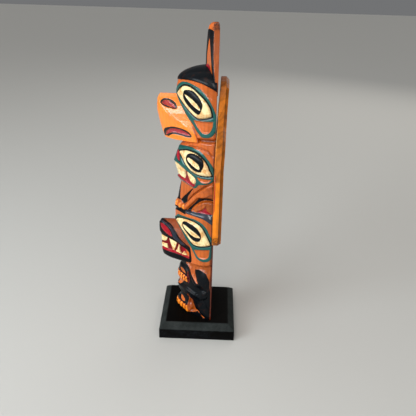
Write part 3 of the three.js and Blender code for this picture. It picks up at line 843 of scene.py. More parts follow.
    def painted_shade_wash(self, s: Array, z: Array, share: Array) -> Array:
        """Find where shade is painted into the grooves, creases and gaps, and along edges.

        Args:
            s: Distances round the trunk.
            z: Heights.
            share: Shares of the way round.

        Returns:
            How dark it is, from 0 to 1.
        """
        groove = np.abs(z - self.course("groove", share))
        nape = np.abs(z - self.course("neck_high", share) + 1)
        cheeks = [
            np.where(shape.depth(s, z) > 0, seam(edge, 0.55, reach, 0.1, s, z), 0)
            for shape, edge, reach in (
                (Shapes.bird_cheek, ((26, 257.6), (38, 258), (49, 259)), 2.2),
                (Shapes.sitter_cheek, ((33, 198), (42, 197.6), (50, 198)), 1.4),
                (Shapes.beast_cheek, ((31, 110), (40, 112.2), (51, 115)), 1.6),
            )
        ]
        between_teeth = seam(((20, 203), (18, 197), (19, 191)), 1, 2.6, 0.1, s, z)
        # Painted shade: in the chin groove, along the arm line, in the gap behind the beak, along the brow
        # crease, under the beast's head, in the mouth between the teeth, in the sunk paw patch, along the top
        # of each cheek hollow, in the sunk wood of the foot, along the rear edge below the bird, and between
        # the claws.
        return any_of(
            0.75 * soft_step(1.6, 0.1, groove) * soft_step(6, 30, s),
            seam(Shapes.arm_line, 0.55, 1.6, 0.1, s, z),
            seam(Shapes.beak_gap, 0.75, 1.5, 0.1, s, z),
            seam(Shapes.brow_crease, 0.4, 1.2, 0.1, s, z),
            0.4 * soft_step(1.3, 0.1, nape) * soft_step(20, 30, s),
            Shapes.sitter_mouth.step(0.6, -0.4, 0.4, s, z) * between_teeth,
            Shapes.paw_patch.step(0.95, -0.4, 0.4, s, z), *cheeks,
            Shapes.foot_wood.step(0.6, -0.4, 0.4, s, z) * soft_step(34, 20, s),
            0.8 * soft_step(0.965, 0.99, share) * soft_step(240, 225, z),
            *[seam(gap, 0.5, 0.9, 0.1, s, z) for gap in (*Shapes.paw_gaps, *Shapes.foot_gaps)],
        )

    def half_rows(self) -> tuple[Array, Array, Array]:
        """Lay out the rows of the left half, from the foot to the top of the dome.

        Returns:
            Shares of the way round, heights, and how far up the dome each row is, as an angle.
        """
        share = (np.arange(self.columns + 1) / self.columns) ** self.column_spread
        heights = [self.course("foot", share)]
        for lower, upper, count in self.steps:
            low, high = self.course(lower, share), self.course(upper, share)
            heights += [low + (high - low) * i / count for i in range(1, count + 1)]
        climb = [0.0] * len(heights) + [(math.pi / 2) * i / self.dome_rows for i in range(1, self.dome_rows)]
        heights += [self.course("cap_high", share)] * (self.dome_rows - 1)
        z = np.array(heights)
        return np.broadcast_to(share, z.shape).copy(), z, np.array(climb)[:, None]

    def rings(self, x: Array, y: Array, z: Array, climb: Array) -> Array:
        """Bend the top rows in to the dome, and add the right half and the flat back with its stepped edges.

        Args:
            x: Carved half widths.
            y: Carved depths.
            z: Heights.
            climb: How far up the dome each row is, as an angle.

        Returns:
            The rings, as rows by ring by three.
        """
        x = x * np.cos(climb)
        y = self.back_plane + (np.minimum(self.back_plane, y) - self.back_plane) * np.cos(climb)
        z = z + (self.dome_top - z) * np.sin(climb)
        deeper = self.rear_step + self.low_rear_step * soft_step(160, 153, z[:, -1])
        strip = np.stack([x[:, -1] * self.rear_narrowing, y[:, -1] + deeper, z[:, -1]], axis=-1)[:, None]
        inner = strip * np.array([self.rear_strip, 1, 1])
        return mirrored_rings(np.stack([x, y, z], axis=-1), strip, inner, inner * FLIP, strip * FLIP)

    def layers(self, s: Array, z: Array, share: Array, relief: Array) -> dict[str, Array]:
        """Lay the paint and the painted shade on the rings; the four rear columns get painted shade but no
        paint.

        Args:
            s: Distances round the trunk.
            z: Heights.
            share: Shares of the way round.
            relief: The carving's relief.

        Returns:
            The attributes, as rows by ring.
        """
        edge = np.broadcast_to(np.array([1.0, 0, 0, 1.0]), (len(z), 4))
        bare = np.full(edge.shape, -FAR)
        layers = {paint.value: mirrored(depth, bare) for paint, depth in self.paints(s, z).items()}
        # Painted shade: darker on the sides towards the rear and more so lower down, darker still at the rear
        # edge, and darker in the carving's hollows.
        side_shade = (0.3 + 0.25 * soft_step(235, 220, z)) * soft_step(34, 50, s)
        rear_shade = side_shade + 0.5 * soft_step(0.95, 0.99, share)
        tone = np.clip(0.7 * soft_step(0.2, -2.4, relief) + rear_shade, 0, 1)
        # Painted shade on the rear columns: full on the rear strips, a little on the flat back.
        layers["shade"] = mirrored(tone, 0.3 + 0.7 * edge)
        layers["painted_shade_wash"] = mirrored(self.painted_shade_wash(s, z, share), edge)
        layers["end_grain"] = np.zeros(layers["shade"].shape)
        return layers

    def build(self) -> bpy.types.Object:
        """Build the trunk as one closed piece with its paint depths.

        Returns:
            The trunk.
        """
        share, z, climb = self.half_rows()
        x, y, nx, ny, s = self.plan(share, z)
        relief = self.relief(s, z, share)
        rings = self.rings(x + nx * relief, y + ny * relief, z, climb)
        return stacked_piece("carved_trunk", rings, self.layers(s, z, share, relief))


# ------------------------------------------------------------------ beak and jaw


@dataclass
class Wedge(Piece):
    """A beak or a jaw: a keel in front, a roof sloping from the ridge, and a rear edge sunk in the head."""

    name: str
    keel: tuple[Point, ...]
    roof: tuple[Point, ...]
    rear: tuple[Point, ...]
    width: float
    length: float
    power: float
    rows: int = 110
    columns: int = 70
    crease: float = 1.4
    root: float = 7.0
    proud: float = 0.25
    thinnest: float = 0.02
    depth_spread: float = 1.5

    def side(self, y: Array, z: Array) -> Array:
        """Find the half width, where the round front and the sloping roof meet in a soft crease.

        Args:
            y: Depths.
            z: Heights.

        Returns:
            The half widths.
        """
        reach = np.maximum(0, y - table_at(self.keel, z)) / self.length
        sharp = self.width * reach ** self.power
        roof = table_at(self.roof, z)
        mix = np.clip(0.5 + 0.5 * (roof - sharp) / self.crease, 0, 1)
        return roof * (1 - mix) + sharp * mix - self.crease * mix * (1 - mix)

    def cuts(self, y: Array, z: Array) -> Array:
        """Relief on the side; each wedge has its own."""
        return np.zeros(y.shape)

    def paints(self, y: Array, z: Array) -> dict[Paint, Array]:
        """Depth inside each paint's shapes; each wedge has its own."""
        return {}

    def painted_shade_wash(self, y: Array, z: Array) -> Array:
        """Where shade is painted on, from 0 to 1."""
        return np.zeros(y.shape)

    def build(self) -> bpy.types.Object:
        """Build the wedge as one closed piece with its paint depths.

        Returns:
            The wedge.
        """
        low, high = self.keel[0][0], self.keel[-1][0]
        z = (low + (high - low) * np.linspace(0, 1, self.rows))[:, None] * np.ones((1, self.columns + 1))
        keel, rear = table_at(self.keel, z), table_at(self.rear, z)
        y = keel + (rear - keel) * np.linspace(0, 1, self.columns + 1)[None, :] ** self.depth_spread
        x = self.side(y, z)
        away = soft_step(0, 1.5, y - keel)
        x = np.maximum(x * self.thinnest, x + self.proud * away + self.cuts(y, z) * away)
        x[:, 0] = 0
        inner = np.stack([x[:, -1] * 0.6, rear[:, -1] + self.root, z[:, -1]], axis=-1)[:, None]
        rings = mirrored_rings(np.stack([x, y, z], axis=-1), inner, inner * FLIP)
        values = {paint.value: np.full(y.shape, -FAR) for paint in Paint}
        values |= {paint.value: depth for paint, depth in self.paints(y, z).items()}
        values |= {"painted_shade_wash": self.painted_shade_wash(y, z), "shade": np.zeros(y.shape), "end_grain": np.zeros(y.shape)}
        layers = {key: mirrored(value, value[:, -1:], value[:, -1:]) for key, value in values.items()}
        return stacked_piece(self.name, rings, layers)


@dataclass
class Beak(Wedge):
    """The bird's hooked beak, with its nostrils and mouth line."""

    name: str = "bird_beak"
    keel: tuple[Point, ...] = (
        (234.8, -39), (241, -41.4), (250, -43.8), (262, -46.4), (268.5, -46.5), (274, -46), (277.5, -44.2),
        (279, -42.9),
    )
    roof: tuple[Point, ...] = (
        (236, 22), (243.6, 21), (249.7, 19), (255, 17), (261.5, 13), (269, 9), (276, 2.5), (279, 0.4),
    )
    rear: tuple[Point, ...] = (
        (236, -3), (243.6, -5), (249.7, -8), (255, -11), (261.5, -16), (269, -21), (279, -26.5),
    )
    width: float = 21.5
    length: float = 33
    power: float = 0.5

    rim = Outline(
        (-42.7, 271.2, 1), (-41.3, 273.3), (-38.8, 274.6), (-35.4, 274.7), (-31.9, 273.8), (-28.3, 272.1),
        (-26, 270), (-25.1, 267.1), (-25.6, 265.5, 1), (-28.8, 265.7), (-32.5, 266.4), (-37.1, 267.6),
        (-40.9, 269.4),
    )
    nostril = Outline(
        (-40.8, 270.8, 1), (-39.3, 272.4), (-36.5, 273), (-33.9, 272.4), (-31.1, 270.8), (-28.2, 269),
        (-26.8, 266.4, 1), (-29.5, 266.9), (-33.4, 267.9), (-37.9, 269.2),
    )
    mouth = Outline(
        (-37.8, 245), (-33.4, 247.3), (-29.3, 248.4), (-25.3, 248.4), (-19.5, 247.7), (-14.6, 246.1),
        (-11.5, 244), (-9.5, 241), (-11.1, 239.2), (-15.3, 239.2), (-19.6, 239.9), (-25.5, 240.5),
        (-29.5, 240.1), (-32, 238.5), (-33.7, 236.8, 1), (-38.6, 236.4, 1), (-39.4, 241),
    )
    tongue = Outline(
        (-36.8, 238.2, 1), (-35.8, 242.2), (-32.6, 245.2), (-29.3, 246.3), (-25.4, 246.6), (-20.7, 246.1),
        (-16.5, 244.7), (-13.4, 243.2), (-11.1, 241.2, 1), (-14.5, 241.1), (-19.2, 241.7), (-25.5, 242.3),
        (-29.4, 242), (-32.7, 240.9), (-35.2, 238.4, 1),
    )

    def painted_shade_wash(self, y: Array, z: Array) -> Array:
        """Painted shade where the beak's lower rear edge meets the head."""
        return seam(((-8.6, 250), (-6.6, 245.4), (-4.2, 240.4), (-3, 235)), 0.8, 1.5, 0.4, y, z)

    def cuts(self, y: Array, z: Array) -> Array:
        """Relief of the nostril and the mouth."""
        nostril = self.rim.step(-0.5, -0.3, 0.8, y, z) - self.nostril.step(1.0, 0, 1.0, y, z)
        return nostril + self.mouth.step(-0.6, -0.3, 0.8, y, z) - self.tongue.step(0.9, -0.2, 0.8, y, z)

    def paints(self, y: Array, z: Array) -> dict[Paint, Array]:
        """Paint the nostril and the mouth red, with black lines round them.

        Args:
            y: Depths.
            z: Heights.

        Returns:
            The depth inside each paint's shapes.
        """
        nostril, tongue = self.nostril.depth(y, z), self.tongue.depth(y, z)
        black = any_of(without(self.rim.depth(y, z), nostril), without(self.mouth.depth(y, z), tongue))
        return {Paint.RED: any_of(nostril, tongue), Paint.BLACK: black}


@dataclass
class Jaw(Wedge):
    """The beast's long open jaw, with its nostrils, gums and teeth."""

    name: str = "beast_jaw"
    keel: tuple[Point, ...] = (
        (89.5, -40), (91.5, -42.6), (96, -43.6), (117, -44.3), (121, -46.3), (126, -46.6), (132, -46.5),
        (136.4, -44),
    )
    roof: tuple[Point, ...] = (
        (89.5, 21), (103.5, 21.5), (111.7, 19), (119, 15.3), (129, 10), (134.5, 4), (136.4, 0.8),
    )
    rear: tuple[Point, ...] = ((89.5, -5), (103.5, -6), (111.7, -10), (119, -15), (129, -21), (136.4, -27))
    width: float = 20.5
    length: float = 38.5
    power: float = 0.62
    rows: int = 130
    columns: int = 90

    dark = Outline(
        (-41.4, 136.8, 1), (-35.6, 134.3), (-31, 131.6), (-27, 126.9), (-24.4, 123), (-21.4, 119),
        (-15, 113.6), (-9.6, 109.6), (-6, 102), (-5, 90.5, 1), (-5, 80, 1), (-60, 80, 1), (-60, 142, 1),
        (-44, 142, 1),
    )
    gleam = Outline(
        (-45, 135.4, 1), (-42.3, 135.3), (-36.1, 132.9), (-31.9, 130.2), (-28.6, 126), (-26, 122.2),
        (-22.9, 118), (-15.5, 112, 1), (-19.5, 111.6), (-24.7, 114.7), (-29.5, 117.8), (-31, 123.5),
        (-34, 129), (-38.4, 132), (-43, 133.4),
    )
    nostril = Outline(
        (-44.9, 132.4, 1), (-41.5, 132.4), (-38.4, 130.9), (-35.2, 128.4), (-33.1, 125.6),
        (-30.5, 119.4, 1), (-33.9, 119.5), (-37.5, 121.7), (-41.1, 123.9), (-43.4, 126.7), (-44.7, 129.5),
    )
    gums = Outline(
        (-49, 117.6, 1), (-43.9, 116.7), (-35.9, 115.8), (-24.8, 112.7), (-20.4, 109.8), (-14.1, 106.4),
        (-10.9, 102.1), (-11, 95.2, 1), (-18.2, 96.8), (-25.7, 98), (-36.2, 98), (-49, 97, 1),
    )
    teeth = (
        Outline(
            (-47, 116.8, 1), (-44.1, 116.2), (-36.2, 115.4, 1), (-38.1, 110.3), (-42.8, 108.4),
            (-47, 108.6, 1),
        ),
        Outline(
            (-47, 105.6, 1), (-41.7, 105.6), (-37, 106, 1), (-35.8, 100.4, 1), (-39.5, 100.6),
            (-47, 100.6, 1),
        ),
        Outline((-35.2, 115.4, 1), (-24.9, 112.4, 1), (-28.3, 100.6, 1), (-30.3, 100.4, 1), (-32.6, 107)),
        Outline(
            (-23.4, 109.9, 1), (-21.5, 108.6, 1), (-22, 104.6), (-19.7, 98.7, 1), (-27, 100, 1),
            (-24.8, 104),
        ),
        Outline((-16.5, 102.6, 1), (-13.1, 98.2, 1), (-16, 97.8), (-19.6, 98.4, 1)),
    )
    lip = ((-49, 99.4), (-36.2, 99.4), (-29, 99.4), (-21.7, 99), (-11.3, 96.2))

    def cuts(self, y: Array, z: Array) -> Array:
        """Carve the nostril, the open mouth, the teeth and the ridge beside the nostril.

        Args:
            y: Depths.
            z: Heights.

        Returns:
            The relief.
        """
        nostril = self.nostril.step(-1.1, -0.3, 1.0, y, z)
        mouth = self.gums.step(-2.8, -0.3, 1.2, y, z)
        teeth = sum(tooth.step(2.1, -0.3, 0.9, y, z) for tooth in self.teeth)
        lip = seam(self.lip, 0.9, 1.5, 0.3, y, z)
        return nostril + mouth + teeth + lip + self.gleam.step(0.5, -0.3, 1.5, y, z)

    def painted_shade_wash(self, y: Array, z: Array) -> Array:
        """Paint shade into the mouth between the teeth.

        Args:
            y: Depths.
            z: Heights.

        Returns:
            How dark it is, from 0 to 1.
        """
        mouth = self.gums.step(1, 0.2, 0.9, y, z) * soft_step(0.4, 1.6, z - table_at(self.lip, y))
        bare = soft_step(0.2, -0.4, any_of(*[tooth.depth(y, z) for tooth in self.teeth]))
        return 0.6 * mouth * soft_step(-16, -20, y) * bare

    def paints(self, y: Array, z: Array) -> dict[Paint, Array]:
        """Paint the gums and the nostril red, the teeth cream, and the lips black, with a painted blue-grey
        highlight on the ridge.

        Args:
            y: Depths.
            z: Heights.

        Returns:
            The depth inside each paint's shapes.
        """
        nostril, gums, gleam = (shape.depth(y, z) for shape in (self.nostril, self.gums, self.gleam))
        return {
            Paint.RED: any_of(nostril, gums),
            Paint.CREAM: any_of(*[tooth.depth(y, z) for tooth in self.teeth]),
            # Painted highlight along the ridge beside the nostril.
            Paint.SLATE: gleam,
            Paint.BLACK: without(self.dark.depth(y, z), nostril, gums, gleam),
        }


# ------------------------------------------------------------------ ears


@dataclass
class Ear(Piece):
    """One of the two tall ears, with a slanted painted front and a short bare tip."""

    side: Side

    # Each station: its height, the inner and outer side, the front's inner edge and outer ridge, the rear.
    stations: tuple[Point, ...] = (
        (284, 3, 29.4, 5.2, 12.3, 15.4), (296, 3, 29.6, 2.5, 11.6, 15.4), (306, 2.8, 27.5, 2.4, 10, 15.4),
        (319, 2.6, 24, 2.5, 9, 15.4), (331, 2.8, 19.5, 3.1, 8.6, 15.4), (339.5, 3.4, 15.5, 3.8, 8.8, 15.3),
        (343.8, 4.4, 12.4, 4.7, 9.2, 15), (346, 5.2, 10.4, 6.4, 9.6, 14.4), (347, 6, 9, 8.6, 10.6, 13.4),
    )
    rows: int = 110
    front_columns: int = 26
    side_columns: int = 12
    back_columns: int = 9
    face_width: float = 22.0
    swell: float = 0.35
    ridge_round: float = 0.5
    cut: float = 0.5
    shoulder: float = 0.6
    black_top: float = 341.0
    grain_from: float = 340.6
    # Across the front face from the inner edge (0) to the outer ridge (1), and height.
    black = Outline(
        (-0.4, 300, 1), (-0.4, 341.4, 1), (0.5, 341.8), (1.06, 341, 1), (1.06, 290, 1), (0.6, 290, 1),
    )
    bare = Outline(
        (0.18, 296, 1), (0.19, 315), (0.27, 324), (0.38, 330), (0.48, 334, 1), (0.6, 329.5), (0.72, 323),
        (0.81, 312), (0.87, 303), (0.91, 290, 1), (0.5, 290, 1),
    )
    red = Outline(
        (0.02, 300, 1), (0.04, 307.6), (0.3, 310.6), (0.5, 310), (0.64, 307), (0.72, 302), (0.78, 294, 1),
        (0.4, 294, 1),
    )

    def surface(self) -> tuple[Array, Array, Array]:
        """Lay out the left ear's skin: the front face, the outer side, then the back.

        Returns:
            x, y and z as rows by ring.
        """
        levels = np.linspace(self.stations[0][0], self.stations[-1][0], self.rows)
        heights, *columns = zip(*self.stations)
        inner, outer, front, ridge, rear = (np.interp(levels, heights, c)[:, None] for c in columns)
        across = np.linspace(0, 1, self.front_columns)
        down = np.linspace(0, 1, self.side_columns)[1:]
        back = np.linspace(0, 1, self.back_columns)[1:]
        face_y = front + (ridge - front) * across - self.swell * np.sin(np.pi * across)
        x = np.concatenate([
            inner + (outer - self.ridge_round - inner) * across,
            outer + 0 * down,
            outer + (inner - outer) * back,
        ], axis=1)
        side_y = (ridge + self.shoulder) + (rear - ridge - self.shoulder) * down
        y = np.concatenate([face_y, side_y, rear + 0 * back], axis=1)
        return x, y, np.broadcast_to(levels[:, None], x.shape)

    def face_depth(self, shape: Outline, z: Array) -> Array:
        """Depth inside a shape on the front face, measured as if the face kept one width all the way up."""
        drawn = Outline(*[(across * self.face_width, height) for across, height in shape.ring], smooth=False)
        return drawn.depth(np.linspace(0, 1, self.front_columns) * self.face_width + 0 * z, z)

    def build(self) -> bpy.types.Object:
        """Build the ear.

        Returns:
            The ear.
        """
        x, y, z = self.surface()
        face = slice(0, self.front_columns)
        red, bare, black = (self.face_depth(shape, z[:, face]) for shape in (self.red, self.bare, self.black))
        y[:, face] += self.cut * soft_step(-0.4, 1.2, bare)
        layers = {paint.value: np.full(x.shape, -FAR) for paint in Paint}
        layers[Paint.RED.value][:, face] = red
        layers[Paint.BLACK.value][:, face] = without(black, bare, red)
        # On the outer side, black only along the ridge's own column and only below the bare tip.
        black_edge = soft_step(self.black_top + 0.5, self.black_top - 0.5, z[:, 0])
        layers[Paint.BLACK.value][:, self.front_columns] = 2.2 * black_edge - 2
        # Painted shade: the outer side and the back are darker than the front face.
        layers["shade"] = np.ones(x.shape)
        layers["shade"][:, face] = 0.0
        layers["painted_shade_wash"] = np.zeros(x.shape)
        # Painted shade along the rear edge of the outer side.
        layers["painted_shade_wash"][:, self.front_columns + self.side_columns - 2] = 0.45
        layers["end_grain"] = soft_step(self.grain_from, self.grain_from + 1.8, z)
        layers["end_grain"][:, face] *= soft_step(0.75, 1.0, np.linspace(0, 1, self.front_columns))
        order = slice(None, None, self.side.value)
        rings = np.stack([x * self.side.value, y, z], axis=-1)[:, order]
        layers = {key: values[:, order] for key, values in layers.items()}
        return stacked_piece(f"ear_{self.side.name.lower()}", rings, layers, angle=30)


# ------------------------------------------------------------------ the wing board


@dataclass
class WingBoard(Piece):
    """The board with both wings: painted feathers in front, plain wood behind, its rear edges bevelled."""

    slot = "wing_wood"
    node = "wings"
    front: float = 14.7
    thickness: float = 8.4
    bevel: float = 3.0
    lip: float = 0.5
    arris: float = 0.12
    cut: float = 0.7
    span: float = 92.0
    outer_from: float = 84.0
    bend: float = 228.0
    lean: float = 0.05
    trim_middle: float = 206.0
    trim_reach: float = 19.0
    trim_width: float = 4.9
    # Above this height the rim is painted darker, as shade.
    rim_shaded_from: float = 218.5
    columns: int = 120
    outer_columns: int = 24
    rows: int = 90
    top: tuple[Point, ...] = (
        (0, 296), (13, 295), (22, 291.5), (26, 282), (34, 270), (48, 260), (64, 252), (73, 246.6), (76, 243),
        (84, 228), (88, 219), (90.6, 192), (92, 167.5),
    )
    bottom: tuple[Point, ...] = (
        (0, 179), (30, 179), (38.6, 177), (40, 170.6), (42.8, 165.8), (47, 164), (51, 165), (54, 168),
        (55.5, 172), (57, 164.6), (59.8, 159.6), (64, 157.8), (68.2, 159), (71.4, 162.6), (73, 167),
        (74.6, 159.4), (77.6, 154), (82, 152), (86.6, 153.4), (90.4, 158.5), (92, 167.5),
    )
    shoulder = Outline(
        (30, 262), (36, 264.5), (48, 257), (60, 250), (68, 243), (70, 236), (62, 232), (46, 236),
        (34, 246),
    )
    shoulder_eye = Outline((40, 252), (48, 250), (58, 245), (62, 240), (56, 237.5), (46, 241), (39, 247))
    shoulder_pupil = Outline((45, 248), (50, 247), (56, 243.4), (55, 241), (49, 242.6), (45, 245.4))
    # Each long feather: the middle line's x at the top and bottom, its half width, and its span of heights.
    feathers: tuple[Point, ...] = (
        (77, 82, 7, 233, 154), (61.5, 64, 7, 228, 160), (45.5, 47, 7, 230, 166), (34.6, 35, 3, 238, 181),
    )

    def feather_depths(self, x: Array, z: Array) -> tuple[Array, Array, Array]:
        """Lay out the feathers: their green tips, their red hearts, and the black lines that part them.

        Args:
            x: Distances from the centre plane.
            z: Heights.

        Returns:
            The depth inside the green, the red and the black.
        """
        green, red, black = (np.full(x.shape, -FAR) for _ in range(3))
        for top_x, bottom_x, half, high, low in self.feathers:
            mid = top_x + (bottom_x - top_x) * np.clip((high - z) / (high - low), 0, 1)
            past = np.abs(z - (high + low) / 2) - (high - low) / 2 + half
            inside = half * np.sqrt(np.clip(1 - (past / half).clip(0) ** 2, 0, 1)) - np.abs(x - mid)
            black = any_of(black, np.minimum(inside + 0.2, 1.3 - inside))
            green = any_of(green, np.minimum(inside - 1.3, low + 26 - z))
            beyond = np.maximum(0, np.maximum(z - (high - 20), low + 34 - z))
            red = any_of(red, np.minimum(inside - 3.2, 3.8 - np.hypot(x - mid, beyond)))
        return green, red, black

    def paints(self, x: Array, z: Array) -> dict[Paint, Array]:
        """Lay out the paint on the front.

        Args:
            x: Distances from the centre plane.
            z: Heights.

        Returns:
            The depth inside each paint's shapes.
        """
        green, red, black = self.feather_depths(x, z)
        shapes = (self.shoulder, self.shoulder_eye, self.shoulder_pupil)
        shoulder, eye, pupil = (shape.depth(x, z) for shape in shapes)
        lines = np.minimum(shoulder + 1.2, 1.6 - shoulder), np.minimum(eye + 0.9, -eye)
        return {
            Paint.GREEN: any_of(without(green, shoulder), without(shoulder - 1.6, eye + 0.9)),
            Paint.RED: red,
            Paint.CREAM: eye,
            Paint.BLACK: any_of(without(black, shoulder + 1.5), pupil, *lines),
        }

    def lean_at(self, z: Array) -> Array:
        """How far the board has leant back at a height."""
        return self.lean * np.maximum(0, z - self.bend)

    def points(self, x: Array, z: Array, depth: Array | float) -> Array:
        """Points at a depth behind the front face, leant back with the board."""
        return np.stack([x, self.front + depth + self.lean_at(z), z], axis=-1).reshape(-1, 3)

    def rim(self) -> tuple[Array, int]:
        """Lay out the board's outline, back along the top edge and then along the feather ends.

        Returns:
            The rim's points, and how many columns there are across.
        """
        keys = {p[0] for p in self.top + self.bottom}
        outer = np.linspace(self.outer_from, self.span, self.outer_columns)
        even = [*np.linspace(0, self.outer_from, self.columns), *outer]
        half = np.array(sorted({round(float(v), 3) for v in [*keys, *even]}))
        x = np.concatenate([-half[:0:-1], half])
        top, bottom = (np.stack([x, table_at(edge, np.abs(x))], axis=1) for edge in (self.top, self.bottom))
        return np.vstack([top[::-1], bottom[1:-1]]), len(x)

    @staticmethod
    def inset(rim: Array, distance: float) -> Array:
        """Move a closed rim inwards.

        Args:
            rim: Points counter-clockwise seen from the front.
            distance: How far each edge moves.

        Returns:
            The moved points.
        """
        before, after = rim - np.roll(rim, 1, axis=0), np.roll(rim, -1, axis=0) - rim
        before, after = (
            side / np.maximum(1e-9, np.linalg.norm(side, axis=1))[:, None] for side in (before, after)
        )
        total = before + after
        towards = np.stack([-total[:, 1], total[:, 0]], axis=1)
        towards /= np.maximum(1e-9, np.linalg.norm(towards, axis=1))[:, None]
        spread = np.maximum(0.6, -before[:, 1] * towards[:, 0] + before[:, 0] * towards[:, 1])
        return rim + towards * (distance / spread)[:, None]

    def sheet(self, ring: Array, count: int) -> tuple[Array, Array]:
        """Fill a rim with rows from its lower to its upper edge, in columns that never cross.

        Args:
            ring: The rim's points.
            count: How many columns there are across.

        Returns:
            x and z, as rows by columns.
        """
        upper = ring[:count][::-1].copy()
        lower = np.vstack([ring[count - 1], ring[count:], ring[0]])
        for row in (upper, lower):
            right_half = np.maximum.accumulate(row[count // 2:, 0] + 0.001 * np.arange(count // 2 + 1))
            row[:, 0] = np.concatenate([-right_half[:0:-1], right_half])
        t = np.linspace(0, 1, self.rows)[:, None]
        return tuple(lower[:, axis] + (upper[:, axis] - lower[:, axis]) * t for axis in (0, 1))

    def faces(self, count: int, size: int) -> list[tuple[int, ...]]:
        """Join the front sheet, the three rings of the edge and the back sheet.

        Args:
            count: How many columns a sheet has.
            size: How many points a ring has.

        Returns:
            The faces, as vertex indices.
        """
        grid = self.rows * count
        faces: list[tuple[int, ...]] = []
        for i in range(self.rows - 1):
            for a in range(i * count, (i + 1) * count - 1):
                faces.append((a, a + 1, a + 1 + count, a + count))
                faces.append((grid + a, grid + a + count, grid + a + 1 + count, grid + a + 1))
        border = [*range(grid - 1, grid - count - 1, -1), *range(1, count - 1)]
        rings = [border, *(range(2 * grid + size * i, 2 * grid + size * (i + 1)) for i in range(3))]
        rings.append([grid + index for index in border])
        for near, far in zip(rings[:-1], rings[1:]):
            faces += [(near[i - 1], near[i], far[i], far[i - 1]) for i in range(size)]
        return faces

    def layers(self, paints: dict[Paint, Array], rim: Array, back: tuple[Array, Array]) -> dict[str, Array]:
        """Lay the paint on the front and the red trim on the edge, and painted shade and end grain on the
        back and the edge.

        Args:
            paints: Depths inside the paint on the front sheet.
            rim: The rim's points.
            back: x and z of the back sheet.

        Returns:
            The attributes of the front sheet, the back sheet and the three rings of the edge, in turn.
        """
        grid, size = back[0].size, len(rim)
        layers = {}
        for paint in Paint:
            layers[paint.value] = np.full(2 * grid + 3 * size, -FAR)
            if paint in paints:
                layers[paint.value][:grid] = paints[paint].reshape(-1)
        height = rim[:, 1]
        # A thin red trim along the front arris, on the first two of the edge's rings.
        trim = 0.75 - np.maximum(0, np.abs(height - self.trim_middle) - self.trim_reach)
        layers[Paint.RED.value][2 * grid:-size] = np.concatenate([trim, trim - self.trim_width])
        along = np.roll(rim, -1, axis=0) - np.roll(rim, 1, axis=0)
        level = np.abs(along[:, 0]) / np.maximum(1e-6, np.hypot(along[:, 0], along[:, 1]))
        grain = soft_step(0.35, 0.8, level) * np.where(height > 200, 0.25, 1.0)
        grain = any_of(grain, soft_step(164.6, 163.4, height))
        # Painted shade: the rim is darker above a set height; the bevel behind the edge is darker all round,
        # and the back too, less so inside its edge.
        upper = soft_step(self.rim_shaded_from, self.rim_shaded_from + 1.5, height)
        inboard = soft_step(0, 2.5, Outline(*rim, smooth=False).depth(*back)).reshape(-1)
        shade, painted_shade_wash = 0.6 * upper, 0.15 * upper
        layers["shade"] = np.concatenate([np.zeros(grid), 1 - 0.5 * inboard, shade, shade, np.ones(size)])
        layers["painted_shade_wash"] = np.concatenate([np.zeros(2 * grid), painted_shade_wash, painted_shade_wash, np.full(size, 0.25)])
        layers["end_grain"] = np.concatenate([np.zeros(2 * grid), grain, grain, grain])
        return layers

    def build(self) -> bpy.types.Object:
        """Build the board as one closed piece.

        Returns:
            The board.
        """
        rim, count = self.rim()
        front = self.sheet(self.inset(rim, self.lip), count)
        back = self.sheet(self.inset(rim, self.bevel), count)
        paints = self.paints(np.abs(front[0]), front[1])
        near, far = (self.points(*rim.T, depth) for depth in (self.lip, self.thickness - self.bevel))
        drawn = self.inset(rim, self.arris)
        vertices = np.vstack([
            self.points(*front, self.cut * soft_step(-0.3, 0.6, paints[Paint.BLACK])),
            self.points(*back, self.thickness),
            near, far, np.stack([drawn[:, 0], far[:, 1] + self.arris, drawn[:, 1]], axis=-1),
        ])
        faces = self.faces(count, len(rim))
        piece = build_piece("wing_board", vertices, faces, self.layers(paints, rim, back), angle=35)
        bpy.ops.object.mode_set(mode="EDIT")
        bpy.ops.mesh.select_all(action="SELECT")
        bpy.ops.mesh.remove_doubles(threshold=0.00002)
        bpy.ops.mesh.normals_make_consistent(inside=False)
        bpy.ops.object.mode_set(mode="OBJECT")
        return piece


# ------------------------------------------------------------------ the stand


